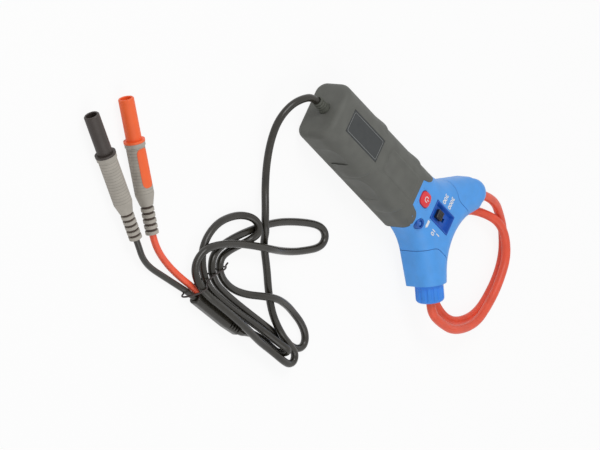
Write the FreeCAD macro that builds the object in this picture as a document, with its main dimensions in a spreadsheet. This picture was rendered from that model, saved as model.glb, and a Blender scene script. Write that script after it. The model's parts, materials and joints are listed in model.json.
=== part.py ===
import FreeCAD, Part
import Sketcher
import math
import os
import re
from FreeCAD import Placement, Rotation, Vector

# A clip-round current probe: a flat grip with a Y-shaped head, a flexible measuring coil that
# closes round a conductor, and an output cord with two shrouded 4 mm test plugs.
# It lies on its back. X runs along the grip towards the head, Y across it and Z up from the table.
# Along X the sizes below are measured from the flat end of the grip, where the cord leaves;
# each piece's Placement then puts the origin on the grip's flat back, origin_from_end from there.

doc = FreeCAD.newDocument("flexible_current_probe")
sheet = doc.addObject("Spreadsheet::Sheet", "sizes")

SIZES = {
    "grip": {
        "origin_from_end": 72.0,
        "handle_length": 92.5,
        "handle_width": 35.0,
        "handle_depth": 25.0,
        "handle_wall": 1.8,
        "parting_height": 9.0,
        "front_edge_radius": 9.5,
        "back_edge_radius": 6.5,
        "end_edge_radius": 3.5,
        "scallop_depth": 0.9,
        "scallop_radius": 64.0,
        "first_scallop": 24.5,
        "second_scallop": 55.0,
        "fit_gap": 0.15,
    },
    "label_recess": {
        "label_start": 10.0,
        "label_length": 32.0,
        "label_width": 14.0,
        "label_depth": 0.5,
    },
    "battery_bay": {
        "door_start": 9.2,
        "cell_radius": 5.1,
        "cell_length": 44.5,
        "cell_nub_radius": 1.9,
        "cell_nub": 1.2,
        "cell_gap": 0.3,
        "bay_wall": 1.2,
        "bay_floor_gap": 0.5,
        "contact_thickness": 0.4,
        "contact_bump": 0.8,
    },
    "joint_of_grip_and_head": {
        "tenon_wall": 1.6,
    },
    "head": {
        "head_back": 5.4,
        "head_wall": 1.8,
        "head_back_edge": 3.0,
        "arm_angle": 45.5,
        "arm_taper": 7.8,
        "arm_length": 41.0,
        "arm_end_half": 9.8,
        "arm_wall": 1.8,
        "flare_radius": 30.0,
        "crotch_radius": 30.0,
        "seam_radius": 8.0,
        "seam_gap": 0.3,
    },
    "controls": {
        "button_size": 8.5,
        "button_corner": 2.0,
        "button_rise": 1.3,
        "button_travel": 0.8,
        "button_skirt": 1.0,
        "button_gap": 0.3,
        "lamp_radius": 2.9,
        "lens_radius": 1.7,
        "well_half": 4.2,
        "well_depth": 2.0,
        "well_slope": 0.9,
        "bezel_rim": 0.8,
        "bezel_rise": 0.3,
        "bezel_floor": 1.2,
        "slider_length": 5.0,
        "slider_half": 2.6,
        "slider_rise": 0.6,
        "slider_travel": 5.0,
        "slider_stem_long": 2.4,
        "slider_stem_wide": 1.8,
        "slider_gap": 0.3,
    },
    "board": {
        "board_half": 10.0,
        "board_thickness": 1.6,
        "post_radius": 2.0,
        "post_side": 7.0,
        "switch_size": 6.0,
        "switch_height": 3.5,
        "plunger_radius": 1.7,
        "plunger_height": 0.9,
        "slide_switch_width": 6.6,
        "slide_switch_height": 4.0,
    },
    "screws": {
        "boss_radius": 3.0,
        "screw_radius": 1.1,
        "screw_length": 9.0,
        "screw_head_radius": 2.2,
        "screw_head_height": 1.2,
        "screw_sink": 0.5,
        "screw_slack": 0.2,
        "pad_top": 3.5,
        "end_screw_place": 5.4,
        "grip_screw_side": 8.0,
    },
    "coil_and_its_lock": {
        "coil_radius": 2.5,
        "coil_middle_y": 4.0,
        "cap_radius": 8.0,
        "cap_notch": 0.8,
        "cap_notch_length": 1.2,
        "cap_dome": 7.6,
        "root_y": 31.5,
        "root_turn": 25.0,
        "root_dip": 9.0,
        "ferrule_start": 1.5,
        "ferrule_end": 4.0,
        "ferrule_gap": 0.1,
        "coil_gap": 0.3,
        "spigot_wall": 1.2,
        "spigot_radius": 5.5,
        "plug_gap": 0.1,
        "collar_gap": 0.2,
        "collar_wall": 2.3,
        "collar_round": 2.5,
        "flute_radius": 1.2,
        "flute_count": 14,
    },
    "cord_exit": {
        "cord_radius": 2.1,
        "cord_height": 13.5,
        "cord_fit": 0.1,
        "cord_seat": 3.0,
        "boot_length": 8.0,
        "boot_groove": 0.4,
        "boot_flange_thickness": 1.45,
    },
    "splitter": {
        "splitter_x": -92.3,
        "splitter_y": -131.9,
        "splitter_height": 3.6,
        "splitter_turn": 3.7,
        "splitter_length": 39.9,
        "splitter_wide_half": 5.0,
        "splitter_narrow_half": 3.1,
        "splitter_depth": 6.8,
        "splitter_edge": 2.4,
        "splitter_neck": 11.0,
        "splitter_hole": 5.0,
        "black_radius": 1.75,
        "red_radius": 1.9,
        "lead_side": 1.95,
    },
    "plugs": {
        "plug_tail_radius": 3.6,
        "plug_tail_groove": 0.7,
        "plug_body_radius": 5.15,
        "plug_tail_end": 16.0,
        "plug_body_start": 22.0,
        "plug_body_end": 49.0,
        "shroud_seat": 4.0,
        "shroud_gap": 0.1,
        "pin_radius": 2.0,
        "pin_slot": 0.5,
        "lead_seat": 4.0,
        "window_length": 13.0,
        "window_width": 5.0,
        "black_tail_x": -153.9,
        "black_tail_y": -134.8,
        "black_turn": 154.3,
        "red_tail_x": -144.1,
        "red_tail_y": -125.7,
        "red_turn": 142.8,
    },
    "tie": {
        "tie_radius": 0.5,
    },
}

# Sizes that follow from those above: what fits in, seats on or lines up with another piece.
TIED = {
    "door_length": "cell_length + 11.5",
    "door_half": "2 * cell_radius + 0.9",
    "cell_side": "cell_radius + cell_gap",
    "cell_height": "handle_wall + cell_radius + cell_gap",
    "bay_start": "door_start + 0.8",
    "door_screw_place": "door_start + door_length - 3.2",
    "tongue_start": "handle_length - 9.5",
    "tongue_half": "handle_width / 2 - 9.5",
    "shoulder_start": "handle_length - 5",
    "shoulder_inner": "handle_width / 2 - 8",
    "shoulder_outer": "handle_width / 2 - 3",
    "notch_half": "handle_width / 2 - 1.5",
    "notch_floor": "handle_depth - 9.5",
    "tenon_start": "handle_length - 12.5",
    "arm_root": "handle_length + 10.5",
    "arm_height": "(head_back + handle_depth) / 2",
    "seam_corner": "arm_root + 12.8",
    "seam_side": "handle_width / 2 - 1.9",
    "button_place": "handle_length - 2.2",
    "lamp_place": "handle_length + 3",
    "lamp_side": "handle_width / 2 - 4.9",
    "lamp_top": "handle_depth - 0.1",
    "well_start": "handle_length + 9.1",
    "well_length": "slider_length + slider_travel + 4.9",
    "slider_start": "well_start + 2.6",
    "board_start": "handle_length - 12",
    "board_end": "handle_length + 25",
    "board_top": "handle_depth - 11.4",
    "first_post": "handle_length + 5.5",
    "second_post": "handle_length + 20.5",
    "slide_switch_length": "slider_travel + 7.3",
    "boss_foot": "pad_top + 0.1",
    "boss_step": "handle_depth - 4",
    "pilot_radius": "screw_radius + 0.05",
    "neck_screw_place": "handle_length - 16",
    "head_screw_place": "arm_root + 3",
    "head_screw_side": "handle_width / 2 - 3",
    "crotch_screw_place": "well_start + well_length + 5.3",
    "coil_middle_x": "arm_root + 61",
    "cap_start": "arm_length",
    "cap_end": "arm_length + 10.3",
    "root_x": "arm_root + 29.7",
    "ferrule_radius": "coil_radius + 1",
    "spigot_bore": "spigot_radius - spigot_wall",
    "spigot_end": "arm_length + 8",
    "plug_start": "arm_length + 1",
    "plug_face": "arm_length + 4",
    "plug_end": "spigot_end - 0.2",
    "plug_radius": "spigot_bore - 0.2",
    "collar_start": "arm_length + 0.3",
    "collar_end": "spigot_end + 2.5",
    "collar_radius": "collar_bore + collar_wall",
    "collar_bore": "spigot_radius + collar_gap",
    "collar_step": "spigot_end + 0.6",
    "collar_hole": "coil_radius + 0.7",
    "flute_circle": "collar_radius + 0.7",
    "boot_neck": "cord_radius + 1.1",
    "boot_tip": "cord_radius + 0.8",
    "boot_flange": "boot_neck + 1.3",
    "plug_height": "plug_flange_radius",
    "plug_flange_radius": "plug_body_radius + 0.45",
    "plug_flange_end": "plug_body_end + 3.5",
    "plug_tip": "plug_flange_end + 23.5",
    "shroud_radius": "shroud_bore + 1.25",
    "shroud_bore": "pin_radius + 1",
    "pin_start": "plug_flange_end - 8.3",
    "pin_end": "plug_tip - 5",
    "window_start": "plug_body_end - 20",
    "window_floor": "plug_body_radius - 0.75",
}

NAMES = [name for entries in SIZES.values() for name in entries]

# The routes are chosen by hand from the photograph: x, y and z of each corner in millimetres from
# the origin. Straight runs join them and an arc rounds each corner.
OUTPUT_CORD = [
    (-75, 0, 13.5), (-83.5, 0, 13.5), (-90.5, -5.5, 13), (-95.5, -13.5, 11.5),
    (-96.5, -24, 9), (-92, -34, 6), (-85, -44, 3.5), (-78, -54.5, 3),
    (-73.5, -66, 6), (-70, -73, 7), (-66.5, -75.6, 6.4), (-61.5, -78.6, 3.2),
    (-57.5, -81.3, 2.1), (-49, -89, 2.1), (-42.5, -96, 2.1), (-36, -102, 2.1),
    (-30.5, -107.5, 3.5), (-26, -112, 6.4), (-20, -114, 7), (-13.5, -114.3, 6.6),
    (-8, -114.4, 6), (-4.5, -116.2, 5.8), (-3.6, -119.8, 5.8), (-6.4, -122.8, 6),
    (-11, -124, 6.6), (-17, -124.6, 6.8), (-24, -125, 6.6), (-34.5, -126.3, 6.8),
    (-47.5, -127.5, 9), (-62, -128.4, 9.8), (-75, -129.4, 10), (-88, -130.6, 9.9),
    (-94, -130.3, 9), (-99, -128, 7.4), (-103, -123.5, 5.6), (-104.5, -117, 5.2),
    (-103, -109.5, 6.6), (-96.5, -103, 6.8), (-87, -96, 6.8), (-77, -90.5, 6.8),
    (-67, -85.5, 6.8), (-57, -81, 6.8), (-46, -75.5, 3.6), (-35, -69.2, 2.1),
    (-26, -62.5, 2.1), (-20, -57.5, 2.1), (-16.9, -52.8, 2.1), (-17.6, -48, 2.1),
    (-22.3, -46, 2.1), (-30, -48, 2.1), (-44, -55.5, 2.1), (-56, -63.3, 2.1),
    (-66, -72, 2.1), (-73.7, -79.9, 2.1), (-81.5, -88.7, 2.1), (-88.8, -98.8, 2.2),
    (-92.3, -107.3, 2.8), (-89.5, -115, 3.6), (-81.5, -118.5, 3), (-69.5, -118, 2.1),
    (-56.6, -117, 2.1), (-44, -115.7, 2.1), (-31, -114.3, 2.1), (-19, -113, 2.1),
    (-8.5, -112, 2.1), (-2, -110.8, 2.1), (2, -107.3, 2.1), (2, -103, 2.1),
    (-1.5, -99.3, 2.1), (-8, -97, 2.1), (-15, -96.2, 2.1), (-25, -96.9, 4.2),
    (-37, -99.8, 6.8), (-47.5, -105, 6.4), (-56, -109.5, 3), (-66.5, -113, 2.1),
    (-77, -113.6, 2.8), (-84, -110.8, 3.2), (-85.8, -104.5, 2.6), (-81.5, -97.2, 2.1),
    (-75.7, -90.2, 2.1), (-71.8, -84.6, 3.4), (-70.8, -79.8, 6.4), (-73.6, -76, 6.8),
    (-78.5, -74.6, 5.2), (-84.5, -76.8, 2.6), (-91.5, -82.3, 2.1), (-98.2, -90.2, 2.1),
    (-101.5, -99.7, 2.1), (-101, -108, 2.1), (-97.5, -115, 2.6), (-91.5, -121, 3.2),
    (-83, -123.8, 3.6), (-72, -123.8, 4.4), (-59.6, -122.5, 4.8), (-47, -120.5, 4.8),
    (-36, -119.2, 5), (-27, -119, 6.8), (-20, -119.2, 9), (-15.4, -118.7, 9.5),
    (-13.2, -119.3, 7.3), (-13.2, -120.1, 4.3), (-15.4, -120.7, 2.1), (-21, -121, 2.1),
    (-28, -121.3, 2.1), (-38, -123.2, 2.1), (-44.5, -126.2, 2.4), (-49.5, -129.13, 3.6),
    (-57.4, -129.64, 3.6),
]

BLACK_LEAD = [
    (-157.5, -133.1, 5.6), (-149.5, -136.9, 5.6), (-141, -139.4, 3.6), (-131, -139.3, 1.9),
    (-119, -137.2, 1.75), (-107, -135.2, 1.9), (-98, -134.25, 3.6), (-87.4, -133.55, 3.6),
]

RED_LEAD = [
    (-147.2, -123.35, 5.6), (-141.7, -127.5, 5.6), (-131.5, -129.8, 3.4), (-119.5, -130.6, 2),
    (-107.5, -130.5, 2), (-98.5, -130.35, 3.6), (-87.6, -129.65, 3.6),
]

WIRE_TIE = [
    (-77.6, -105.5, 0.9), (-81.3, -107.6, 0.6), (-84.5, -111.3, 0.52), (-90, -120, 0.52),
    (-96.6, -132.2, 0.52), (-99.2, -136.9, 0.8), (-100.2, -138.6, 3.2), (-99, -136.6, 7.4),
    (-97, -133, 11.2), (-95, -129, 12.2), (-93, -125.3, 8.2), (-90.6, -120.8, 6.3),
    (-86.8, -114.2, 6.4), (-83, -110, 6.4), (-80.9, -107.4, 4.4), (-80.2, -106.2, 2.8),
    (-79, -103.8, 2.4),
]

# The coil's stations round the middle of its loop: angle in degrees, distance and height.
COIL_STATIONS = [
    (92, 37.3, 8.6), (76, 38.0, 5.2), (60, 37.6, 3.3), (36, 34.8, 2.8),
    (11, 31.2, 2.7), (-38, 30.0, 2.7), (-78, 30.6, 2.7), (-130, 28.6, 2.7),
    (-186, 27.4, 2.7), (-233, 28.0, 2.9), (-262, 30.0, 4.5), (-288, 32.4, 7.9),
    (-319, 31.5, 8.4), (-348, 28.0, 8.7), (-382, 28.4, 9.4), (-412, 32.8, 10.8),
    (-439, 38.6, 12.8), (-469, 45.3, 14.8),
]

PIECES = []


def fill_sheet():
    """One row for each size: its name in column A, its number with that name in column B."""
    row = 1
    for group, entries in SIZES.items():
        sheet.set("A%d" % row, group.replace("_", " "))
        row += 1
        for name, number in entries.items():
            sheet.set("A%d" % row, name)
            sheet.set("B%d" % row, str(number))
            sheet.setAlias("B%d" % row, name)
            row += 1
    doc.recompute()


def bound(text):
    """The expression with each size name pointed at its cell and each tied name written out."""
    def point(found):
        name = found.group(0)
        if name in TIED:
            return "(%s)" % bound(TIED[name])
        return "sizes." + name if name in NAMES else name
    return re.sub(r"[a-z][a-z_]*", point, str(text))


def size(text):
    return float(sheet.evalExpression(bound(text)))


def keep(node, piece):
    """Gives a finished piece its own Label and puts it on the list that is checked and written."""
    piece.Label = node
    PIECES.append((node, piece))
    return piece


def new_body(label, base=None):
    body = doc.addObject("PartDesign::Body", label)
    body.Label = label
    if base:
        body.BaseFeature = base
        doc.recompute()
    return body


def along_grip(body):
    """Moves a piece drawn from the grip's end so that the origin is on the grip's back."""
    body.setExpression("Placement.Base.x", bound("-origin_from_end"))
    return body


def place(body, x, y, z, turn="0"):
    body.Placement = Placement(Vector(0, 0, 0), Rotation(Vector(0, 0, 1), size(turn)))
    body.setExpression("Placement.Base.x", bound(x))
    body.setExpression("Placement.Base.y", bound(y))
    body.setExpression("Placement.Base.z", bound(z))
    if size(turn):
        body.setExpression("Placement.Rotation.Angle", bound(turn))
    return body


def sketch_on(body, role, height="0"):
    sketch = body.newObject("Sketcher::SketchObject", body.Name + "_sketch")
    plane = [part for part in body.Origin.OriginFeatures if part.Role == role][0]
    sketch.AttachmentSupport = [(plane, "")]
    sketch.MapMode = "FlatFace"
    sketch.setExpression("AttachmentOffset.Base.z", bound(height))
    return sketch


def bind(sketch, constraint, text):
    number = sketch.addConstraint(constraint)
    sketch.setExpression("Constraints[%d]" % number, bound(text))


def polygon(sketch, corners):
    """A closed outline; each corner is held by two expressions."""
    points = [Vector(size(x), size(y), 0) for x, y in corners]
    first = sketch.GeometryCount
    count = len(points)
    for i in range(count):
        sketch.addGeometry(Part.LineSegment(points[i], points[(i + 1) % count]), False)
    for i in range(count):
        follower = first + (i + 1) % count
        sketch.addConstraint(Sketcher.Constraint("Coincident", first + i, 2, follower, 1))
    for i, (x, y) in enumerate(corners):
        bind(sketch, Sketcher.Constraint("DistanceX", -1, 1, first + i, 1, points[i].x), x)
        bind(sketch, Sketcher.Constraint("DistanceY", -1, 1, first + i, 1, points[i].y), y)
    return sketch


def rectangle(sketch, left, right, low, high):
    return polygon(sketch, [(left, low), (right, low), (right, high), (left, high)])


def circle(sketch, x, y, radius):
    middle = Vector(size(x), size(y), 0)
    number = sketch.addGeometry(Part.Circle(middle, Vector(0, 0, 1), size(radius)), False)
    bind(sketch, Sketcher.Constraint("DistanceX", -1, 1, number, 3, middle.x), x)
    bind(sketch, Sketcher.Constraint("DistanceY", -1, 1, number, 3, middle.y), y)
    bind(sketch, Sketcher.Constraint("Radius", number, size(radius)), radius)
    return sketch


def pad(body, sketch, length, middle=False, back=False):
    feature = body.newObject("PartDesign::Pad", body.Name + "_pad")
    feature.Profile = sketch
    feature.setExpression("Length", bound(length))
    feature.Reversed = back
    if middle:
        feature.SideType = "Symmetric"
    doc.recompute()
    return feature


def cut(body, sketch, length, ahead=True, middle=False):
    """Cuts the sketch along its plane's normal, or against it with ahead=False."""
    before = body.Tip.Shape.Volume
    feature = body.newObject("PartDesign::Pocket", body.Name + "_pocket")
    feature.Profile = sketch
    feature.setExpression("Length", bound(length))
    feature.Reversed = ahead
    if middle:
        feature.SideType = "Symmetric"
    doc.recompute()
    if feature.Shape.Volume > before - 0.001:
        raise ValueError("%s removes nothing" % feature.Name)
    return feature


def fillet(body, radius, wanted):
    base = body.Tip
    names = ["Edge%d" % (i + 1) for i, edge in enumerate(base.Shape.Edges) if wanted(edge)]
    feature = body.newObject("PartDesign::Fillet", body.Name + "_fillet")
    feature.Base = (base, names)
    feature.setExpression("Radius", bound(radius))
    doc.recompute()
    return feature


def hollow(body, wall, opened):
    """Leaves a wall behind every face but the opened ones."""
    base = body.Tip
    names = ["Face%d" % (i + 1) for i, face in enumerate(base.Shape.Faces) if opened(face)]
    feature = body.newObject("PartDesign::Thickness", body.Name + "_wall")
    feature.Base = (base, names)
    feature.setExpression("Value", bound(wall))
    feature.Reversed = True
    feature.Mode = "Skin"
    feature.Join = "Intersection"
    doc.recompute()
    return feature


def turned(label, corners):
    """A body turned about its own X axis from an outline of length and radius."""
    body = new_body(label)
    sketch = polygon(sketch_on(body, "XY_Plane"), corners)
    feature = body.newObject("PartDesign::Revolution", label + "_revolution")
    feature.Profile = sketch
    feature.ReferenceAxis = (sketch, ["H_Axis"])
    feature.Angle = 360
    doc.recompute()
    return body


def near(a, b):
    return abs(a - b) < 0.01


def middle_of(edge):
    return edge.valueAt((edge.FirstParameter + edge.LastParameter) / 2)


def runs_along(edge, axis):
    ends = [vertex.Point for vertex in edge.Vertexes]
    if len(ends) < 2 or edge.Length < 0.5:
        return False
    way = ends[1] - ends[0]
    return near(abs(way.dot(axis)) / edge.Length, 1)


def lies_at(edge, axis, place_on_axis):
    points = [vertex.Point for vertex in edge.Vertexes] + [middle_of(edge)]
    return all(near(point.dot(axis), place_on_axis) for point in points)


X, Y, Z = Vector(1, 0, 0), Vector(0, 1, 0), Vector(0, 0, 1)


def scallops(body, low, height):
    """Shallow finger scallops in both sides."""
    sketch = sketch_on(body, "XY_Plane", low)
    for spot in ("first_scallop", "second_scallop"):
        for side in ("", "-"):
            side_text = side + "(handle_width / 2 + scallop_radius - scallop_depth)"
            circle(sketch, spot, side_text, "scallop_radius")
            cut(body, sketch, height)
            sketch = sketch_on(body, "XY_Plane", low)
    body.removeObject(sketch)
    doc.removeObject(sketch.Name)


def front_screw_spots():
    spots = [(place_text, side) for place_text in ("end_screw_place", "neck_screw_place")
             for side in ("grip_screw_side", "-grip_screw_side")]
    return spots + [("door_screw_place", "0")]


def grip_shell(label, low, high, edge_radius, far_edge, opened):
    """Half of the grip: a box with its long edges and its flat end rounded, then hollowed."""
    body = new_body(label)
    sketch = sketch_on(body, "YZ_Plane")
    rectangle(sketch, "-handle_width / 2", "handle_width / 2", low, high)
    pad(body, sketch, "handle_length")
    fillet(body, edge_radius, lambda edge: runs_along(edge, X) and lies_at(edge, Z, far_edge))
    parting = size("parting_height")
    fillet(body, "end_edge_radius",
           lambda edge: lies_at(edge, X, 0) and not lies_at(edge, Z, parting))
    hollow(body, "handle_wall", opened)
    return body


def make_front_grip():
    end = size("handle_length")
    parting = size("parting_height")

    def opened(face):
        middle = face.CenterOfMass
        return near(middle.z, parting) or near(middle.x, end)

    body = grip_shell("handle_front_grip", "parting_height", "handle_depth", "front_edge_radius",
                      size("handle_depth"), opened)
    scallops(body, "parting_height - 1", "handle_depth")
    sketch = sketch_on(body, "XY_Plane", "boss_foot")
    for place_text, side in front_screw_spots():
        circle(sketch, place_text, side, "boss_radius")
    pad(body, sketch, "handle_depth - handle_wall + 0.9 - boss_foot")
    sketch = sketch_on(body, "XY_Plane", "boss_foot - 1")
    for place_text, side in front_screw_spots():
        circle(sketch, place_text, side, "pilot_radius")
    cut(body, sketch, "screw_length + 4")
    sketch = sketch_on(body, "XY_Plane", "notch_floor")
    far = "handle_length + 1"
    polygon(sketch, [
        ("tongue_start", "-tongue_half"), ("shoulder_start", "-shoulder_inner"),
        ("shoulder_start", "-shoulder_outer"), ("handle_length", "-notch_half"),
        (far, "-notch_half"), (far, "notch_half"), ("handle_length", "notch_half"),
        ("shoulder_start", "shoulder_outer"), ("shoulder_start", "shoulder_inner"),
        ("tongue_start", "tongue_half")])
    cut(body, sketch, "handle_depth")
    sketch = sketch_on(body, "XY_Plane", "handle_depth - label_depth")
    rectangle(sketch, "label_start", "label_start + label_length", "-label_width / 2",
              "label_width / 2")
    cut(body, sketch, "2")
    sketch = sketch_on(body, "YZ_Plane", "-1")
    circle(sketch, "0", "cord_height", "boot_neck + fit_gap")
    cut(body, sketch, "handle_wall + 2")
    keep("handle_front_grip", along_grip(body))


def make_rear_grip():
    parting = size("parting_height")
    body = grip_shell("handle_rear_grip", "0", "parting_height", "back_edge_radius", 0,
                      lambda face: near(face.CenterOfMass.z, parting))
    scallops(body, "-1", "parting_height + 2")
    sketch = sketch_on(body, "XY_Plane", "-1")
    rectangle(sketch, "door_start", "door_start + door_length", "-door_half - fit_gap",
              "door_half + fit_gap")
    cut(body, sketch, "handle_wall + 2")
    sketch = sketch_on(body, "XY_Plane", "handle_wall + bay_floor_gap")
    inner = "handle_width / 2 - handle_wall + 0.05"
    rectangle(sketch, "bay_start - bay_wall", "bay_start", "-(%s)" % inner, inner)
    far = "bay_start + 2 * contact_thickness + 2 * contact_bump + cell_length"
    rectangle(sketch, far, far + " + bay_wall", "-(%s)" % inner, inner)
    pad(body, sketch, "parting_height - handle_wall - bay_floor_gap")
    sketch = sketch_on(body, "XY_Plane", "handle_wall / 2")
    spots = front_screw_spots()[:4]
    for place_text, side in spots:
        circle(sketch, place_text, side, "boss_radius + 0.4")
    pad(body, sketch, "pad_top - handle_wall / 2")
    sketch = sketch_on(body, "XY_Plane", "-1")
    for place_text, side in spots:
        circle(sketch, place_text, side, "screw_radius + screw_slack")
    cut(body, sketch, "pad_top + 2")
    sketch = sketch_on(body, "XY_Plane", "-1")
    for place_text, side in spots:
        circle(sketch, place_text, side, "screw_head_radius + screw_slack")
    cut(body, sketch, "screw_sink + screw_head_height + 1")
    sketch = sketch_on(body, "YZ_Plane", "handle_length + 1")
    rectangle(sketch, "-board_half - 2", "board_half + 2", "parting_height - handle_wall",
              "parting_height + 1")
    cut(body, sketch, "handle_wall + 2", ahead=False)
    keep("handle_rear_grip", along_grip(body))


def make_battery_door():
    body = new_body("battery_door")
    sketch = sketch_on(body, "XY_Plane")
    rectangle(sketch, "door_start + fit_gap", "door_start + door_length - fit_gap", "-door_half",
              "door_half")
    pad(body, sketch, "handle_wall")
    sketch = sketch_on(body, "XY_Plane", "handle_wall / 2")
    circle(sketch, "door_screw_place", "0", "boss_radius")
    pad(body, sketch, "pad_top - handle_wall / 2")
    sketch = sketch_on(body, "XY_Plane", "-1")
    circle(sketch, "door_screw_place", "0", "screw_radius + screw_slack")
    cut(body, sketch, "pad_top + 2")
    sketch = sketch_on(body, "XY_Plane", "-1")
    circle(sketch, "door_screw_place", "0", "screw_head_radius + screw_slack")
    cut(body, sketch, "screw_sink + screw_head_height + 1")
    sketch = sketch_on(body, "XY_Plane", "-1")
    for step in range(4):
        start = "door_start + 3 + %g" % (step * 1.8)
        rectangle(sketch, start, start + " + 0.8", "-6", "6")
    cut(body, sketch, "1.4")
    keep("battery_door", along_grip(body))


def make_screw(label, x, y, z):
    """A pan screw that is driven upwards; its head's outer face is at z."""
    sketch_corners = [
        ("0", "0"), ("0", "screw_head_radius - 0.3"), ("0.3", "screw_head_radius"),
        ("screw_head_height", "screw_head_radius"), ("screw_head_height", "screw_radius"),
        ("screw_head_height + screw_length - 1", "screw_radius"),
        ("screw_head_height + screw_length", "0.4"), ("screw_head_height + screw_length", "0")]
    body = turned(label, sketch_corners)
    sketch = sketch_on(body, "YZ_Plane", "-1")
    polygon(sketch, [("-1.3", "-0.25"), ("-0.25", "-0.25"), ("-0.25", "-1.3"), ("0.25", "-1.3"),
                     ("0.25", "-0.25"), ("1.3", "-0.25"), ("1.3", "0.25"), ("0.25", "0.25"),
                     ("0.25", "1.3"), ("-0.25", "1.3"), ("-0.25", "0.25"), ("-1.3", "0.25")])
    cut(body, sketch, "1.7")
    body.Placement = Placement(Vector(0, 0, 0), Rotation(Vector(0, 1, 0), -90))
    body.setExpression("Placement.Base.x", bound(x + " - origin_from_end"))
    body.setExpression("Placement.Base.y", bound(y))
    body.setExpression("Placement.Base.z", bound(z))
    return body


def make_screws():
    keep("battery_door_screw", make_screw("battery_door_screw", "door_screw_place", "0",
                                          "screw_sink"))
    number = 0
    for place_text in ("end_screw_place", "neck_screw_place"):
        for side in ("grip_screw_side", "-grip_screw_side"):
            number += 1
            label = "grip_screw_%d" % number
            keep(label, make_screw(label, place_text, side, "screw_sink"))
    spots = [("head_screw_place", "head_screw_side"), ("head_screw_place", "-head_screw_side"),
             ("crotch_screw_place", "0")]
    for number, (place_text, side) in enumerate(spots, 1):
        label = "head_screw_%d" % number
        keep(label, make_screw(label, place_text, side, "head_back + screw_sink"))


def make_cells():
    start = "bay_start + contact_thickness + contact_bump"
    for label, side, turn in (("battery_cell_left", "cell_side", "0"),
                              ("battery_cell_right", "-cell_side", "180")):
        body = turned(label, [
            ("0", "0"), ("0", "cell_radius - 1.2"), ("0.5", "cell_radius"),
            ("cell_length - cell_nub - 0.5", "cell_radius"),
            ("cell_length - cell_nub", "cell_radius - 1.2"),
            ("cell_length - cell_nub", "cell_nub_radius"), ("cell_length", "cell_nub_radius"),
            ("cell_length", "0")])
        x = start if turn == "0" else start + " + cell_length"
        keep(label, place(body, x + " - origin_from_end", side, "cell_height", turn))
    far = "bay_start + 2 * contact_thickness + 2 * contact_bump + cell_length"
    for label, x, back in (("battery_contact_front", "bay_start", False),
                           ("battery_contact_rear", far, True)):
        body = new_body(label)
        sketch = sketch_on(body, "YZ_Plane", x)
        rectangle(sketch, "-cell_side - 4", "cell_side + 4", "handle_wall + bay_floor_gap + 0.3",
                  "cell_height + 4")
        pad(body, sketch, "contact_thickness", back=back)
        way = "-" if back else "+"
        sketch = sketch_on(body, "YZ_Plane", "%s %s contact_thickness" % (x, way))
        circle(sketch, "cell_side", "cell_height", "cell_nub_radius")
        circle(sketch, "-cell_side", "cell_height", "cell_nub_radius")
        pad(body, sketch, "contact_bump", back=back)
        keep(label, along_grip(body))


def arm_spot(length, side, sign):
    """Text for the plan position of a point so far along an arm and beside its axis."""
    x = "arm_root + (%s) * cos(arm_angle) - (%s) * sin(arm_angle)" % (length, side)
    y = "(%s) * sin(arm_angle) + (%s) * cos(arm_angle)" % (length, side)
    return x, "%s(%s)" % (sign, y)


def make_head_form(label, inset, start_text):
    """The outer form of the head, or with an inset the form of the space inside its wall."""
    side = "(arm_end_half - (%s) / cos(arm_taper))" % inset
    outer_x, outer_y = arm_spot("arm_length", side, "")
    inner_x, inner_y = arm_spot("arm_length", "-" + side, "")
    half = "(handle_width / 2 - (%s))" % inset
    flare_x = "%s - (%s - %s) / tan(arm_angle - arm_taper)" % (outer_x, outer_y, half)
    crotch_x = "%s - (%s) / tan(arm_angle + arm_taper)" % (inner_x, inner_y)
    body = new_body(label)
    sketch = sketch_on(body, "XY_Plane", "head_back + (%s)" % inset)
    polygon(sketch, [
        (start_text, "-" + half), (flare_x, "-" + half), (outer_x, "-(%s)" % outer_y),
        (inner_x, "-(%s)" % inner_y), (crotch_x, "0"), (inner_x, inner_y), (outer_x, outer_y),
        (flare_x, half), (start_text, half)])
    pad(body, sketch, "handle_depth - head_back - 2 * (%s)" % inset)
    flare = size(flare_x)
    crotch = size(crotch_x)
    fillet(body, "flare_radius + (%s)" % inset,
           lambda edge: runs_along(edge, Z) and lies_at(edge, X, flare))
    fillet(body, "crotch_radius + (%s)" % inset,
           lambda edge: runs_along(edge, Z) and lies_at(edge, X, crotch))
    arm_way = Vector(size("cos(arm_angle)"), size("sin(arm_angle)"), 0)
    root = size("arm_root")
    start = size(start_text)
    end = size("arm_length")

    def is_long(edge):
        middle = middle_of(edge)
        reach = (Vector(middle.x, abs(middle.y), 0) - Vector(root, 0, 0)).dot(arm_way)
        return reach < end - 0.05 and middle.x > start + 0.05

    top = size("handle_depth - (%s)" % inset)
    back = size("head_back + (%s)" % inset)
    fillet(body, "front_edge_radius - (%s)" % inset,
           lambda edge: lies_at(edge, Z, top) and is_long(edge))
    fillet(body, "head_back_edge - (%s)" % inset,
           lambda edge: lies_at(edge, Z, back) and is_long(edge))
    return body


def arm_region(label, sign, grow):
    """The block that holds one arm; the head's centre is cut with it grown by the seam's gap."""
    body = new_body(label)
    sketch = sketch_on(body, "XY_Plane")
    corner_x = "seam_corner - (%s) * (sqrt(2) - 1)" % grow
    corner_y = "seam_side - (%s)" % grow
    corners = [(corner_x, corner_y), ("200", corner_y), ("200", "70"),
               (corner_x + " - 50", "70"), (corner_x + " - 50", corner_y + " + 50")]
    polygon(sketch, [(x, "%s(%s)" % (sign, y)) for x, y in corners])
    pad(body, sketch, "40")
    spot = size(corner_x)
    fillet(body, "seam_radius + (%s)" % grow,
           lambda edge: runs_along(edge, Z) and lies_at(edge, X, spot))
    return body


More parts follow.
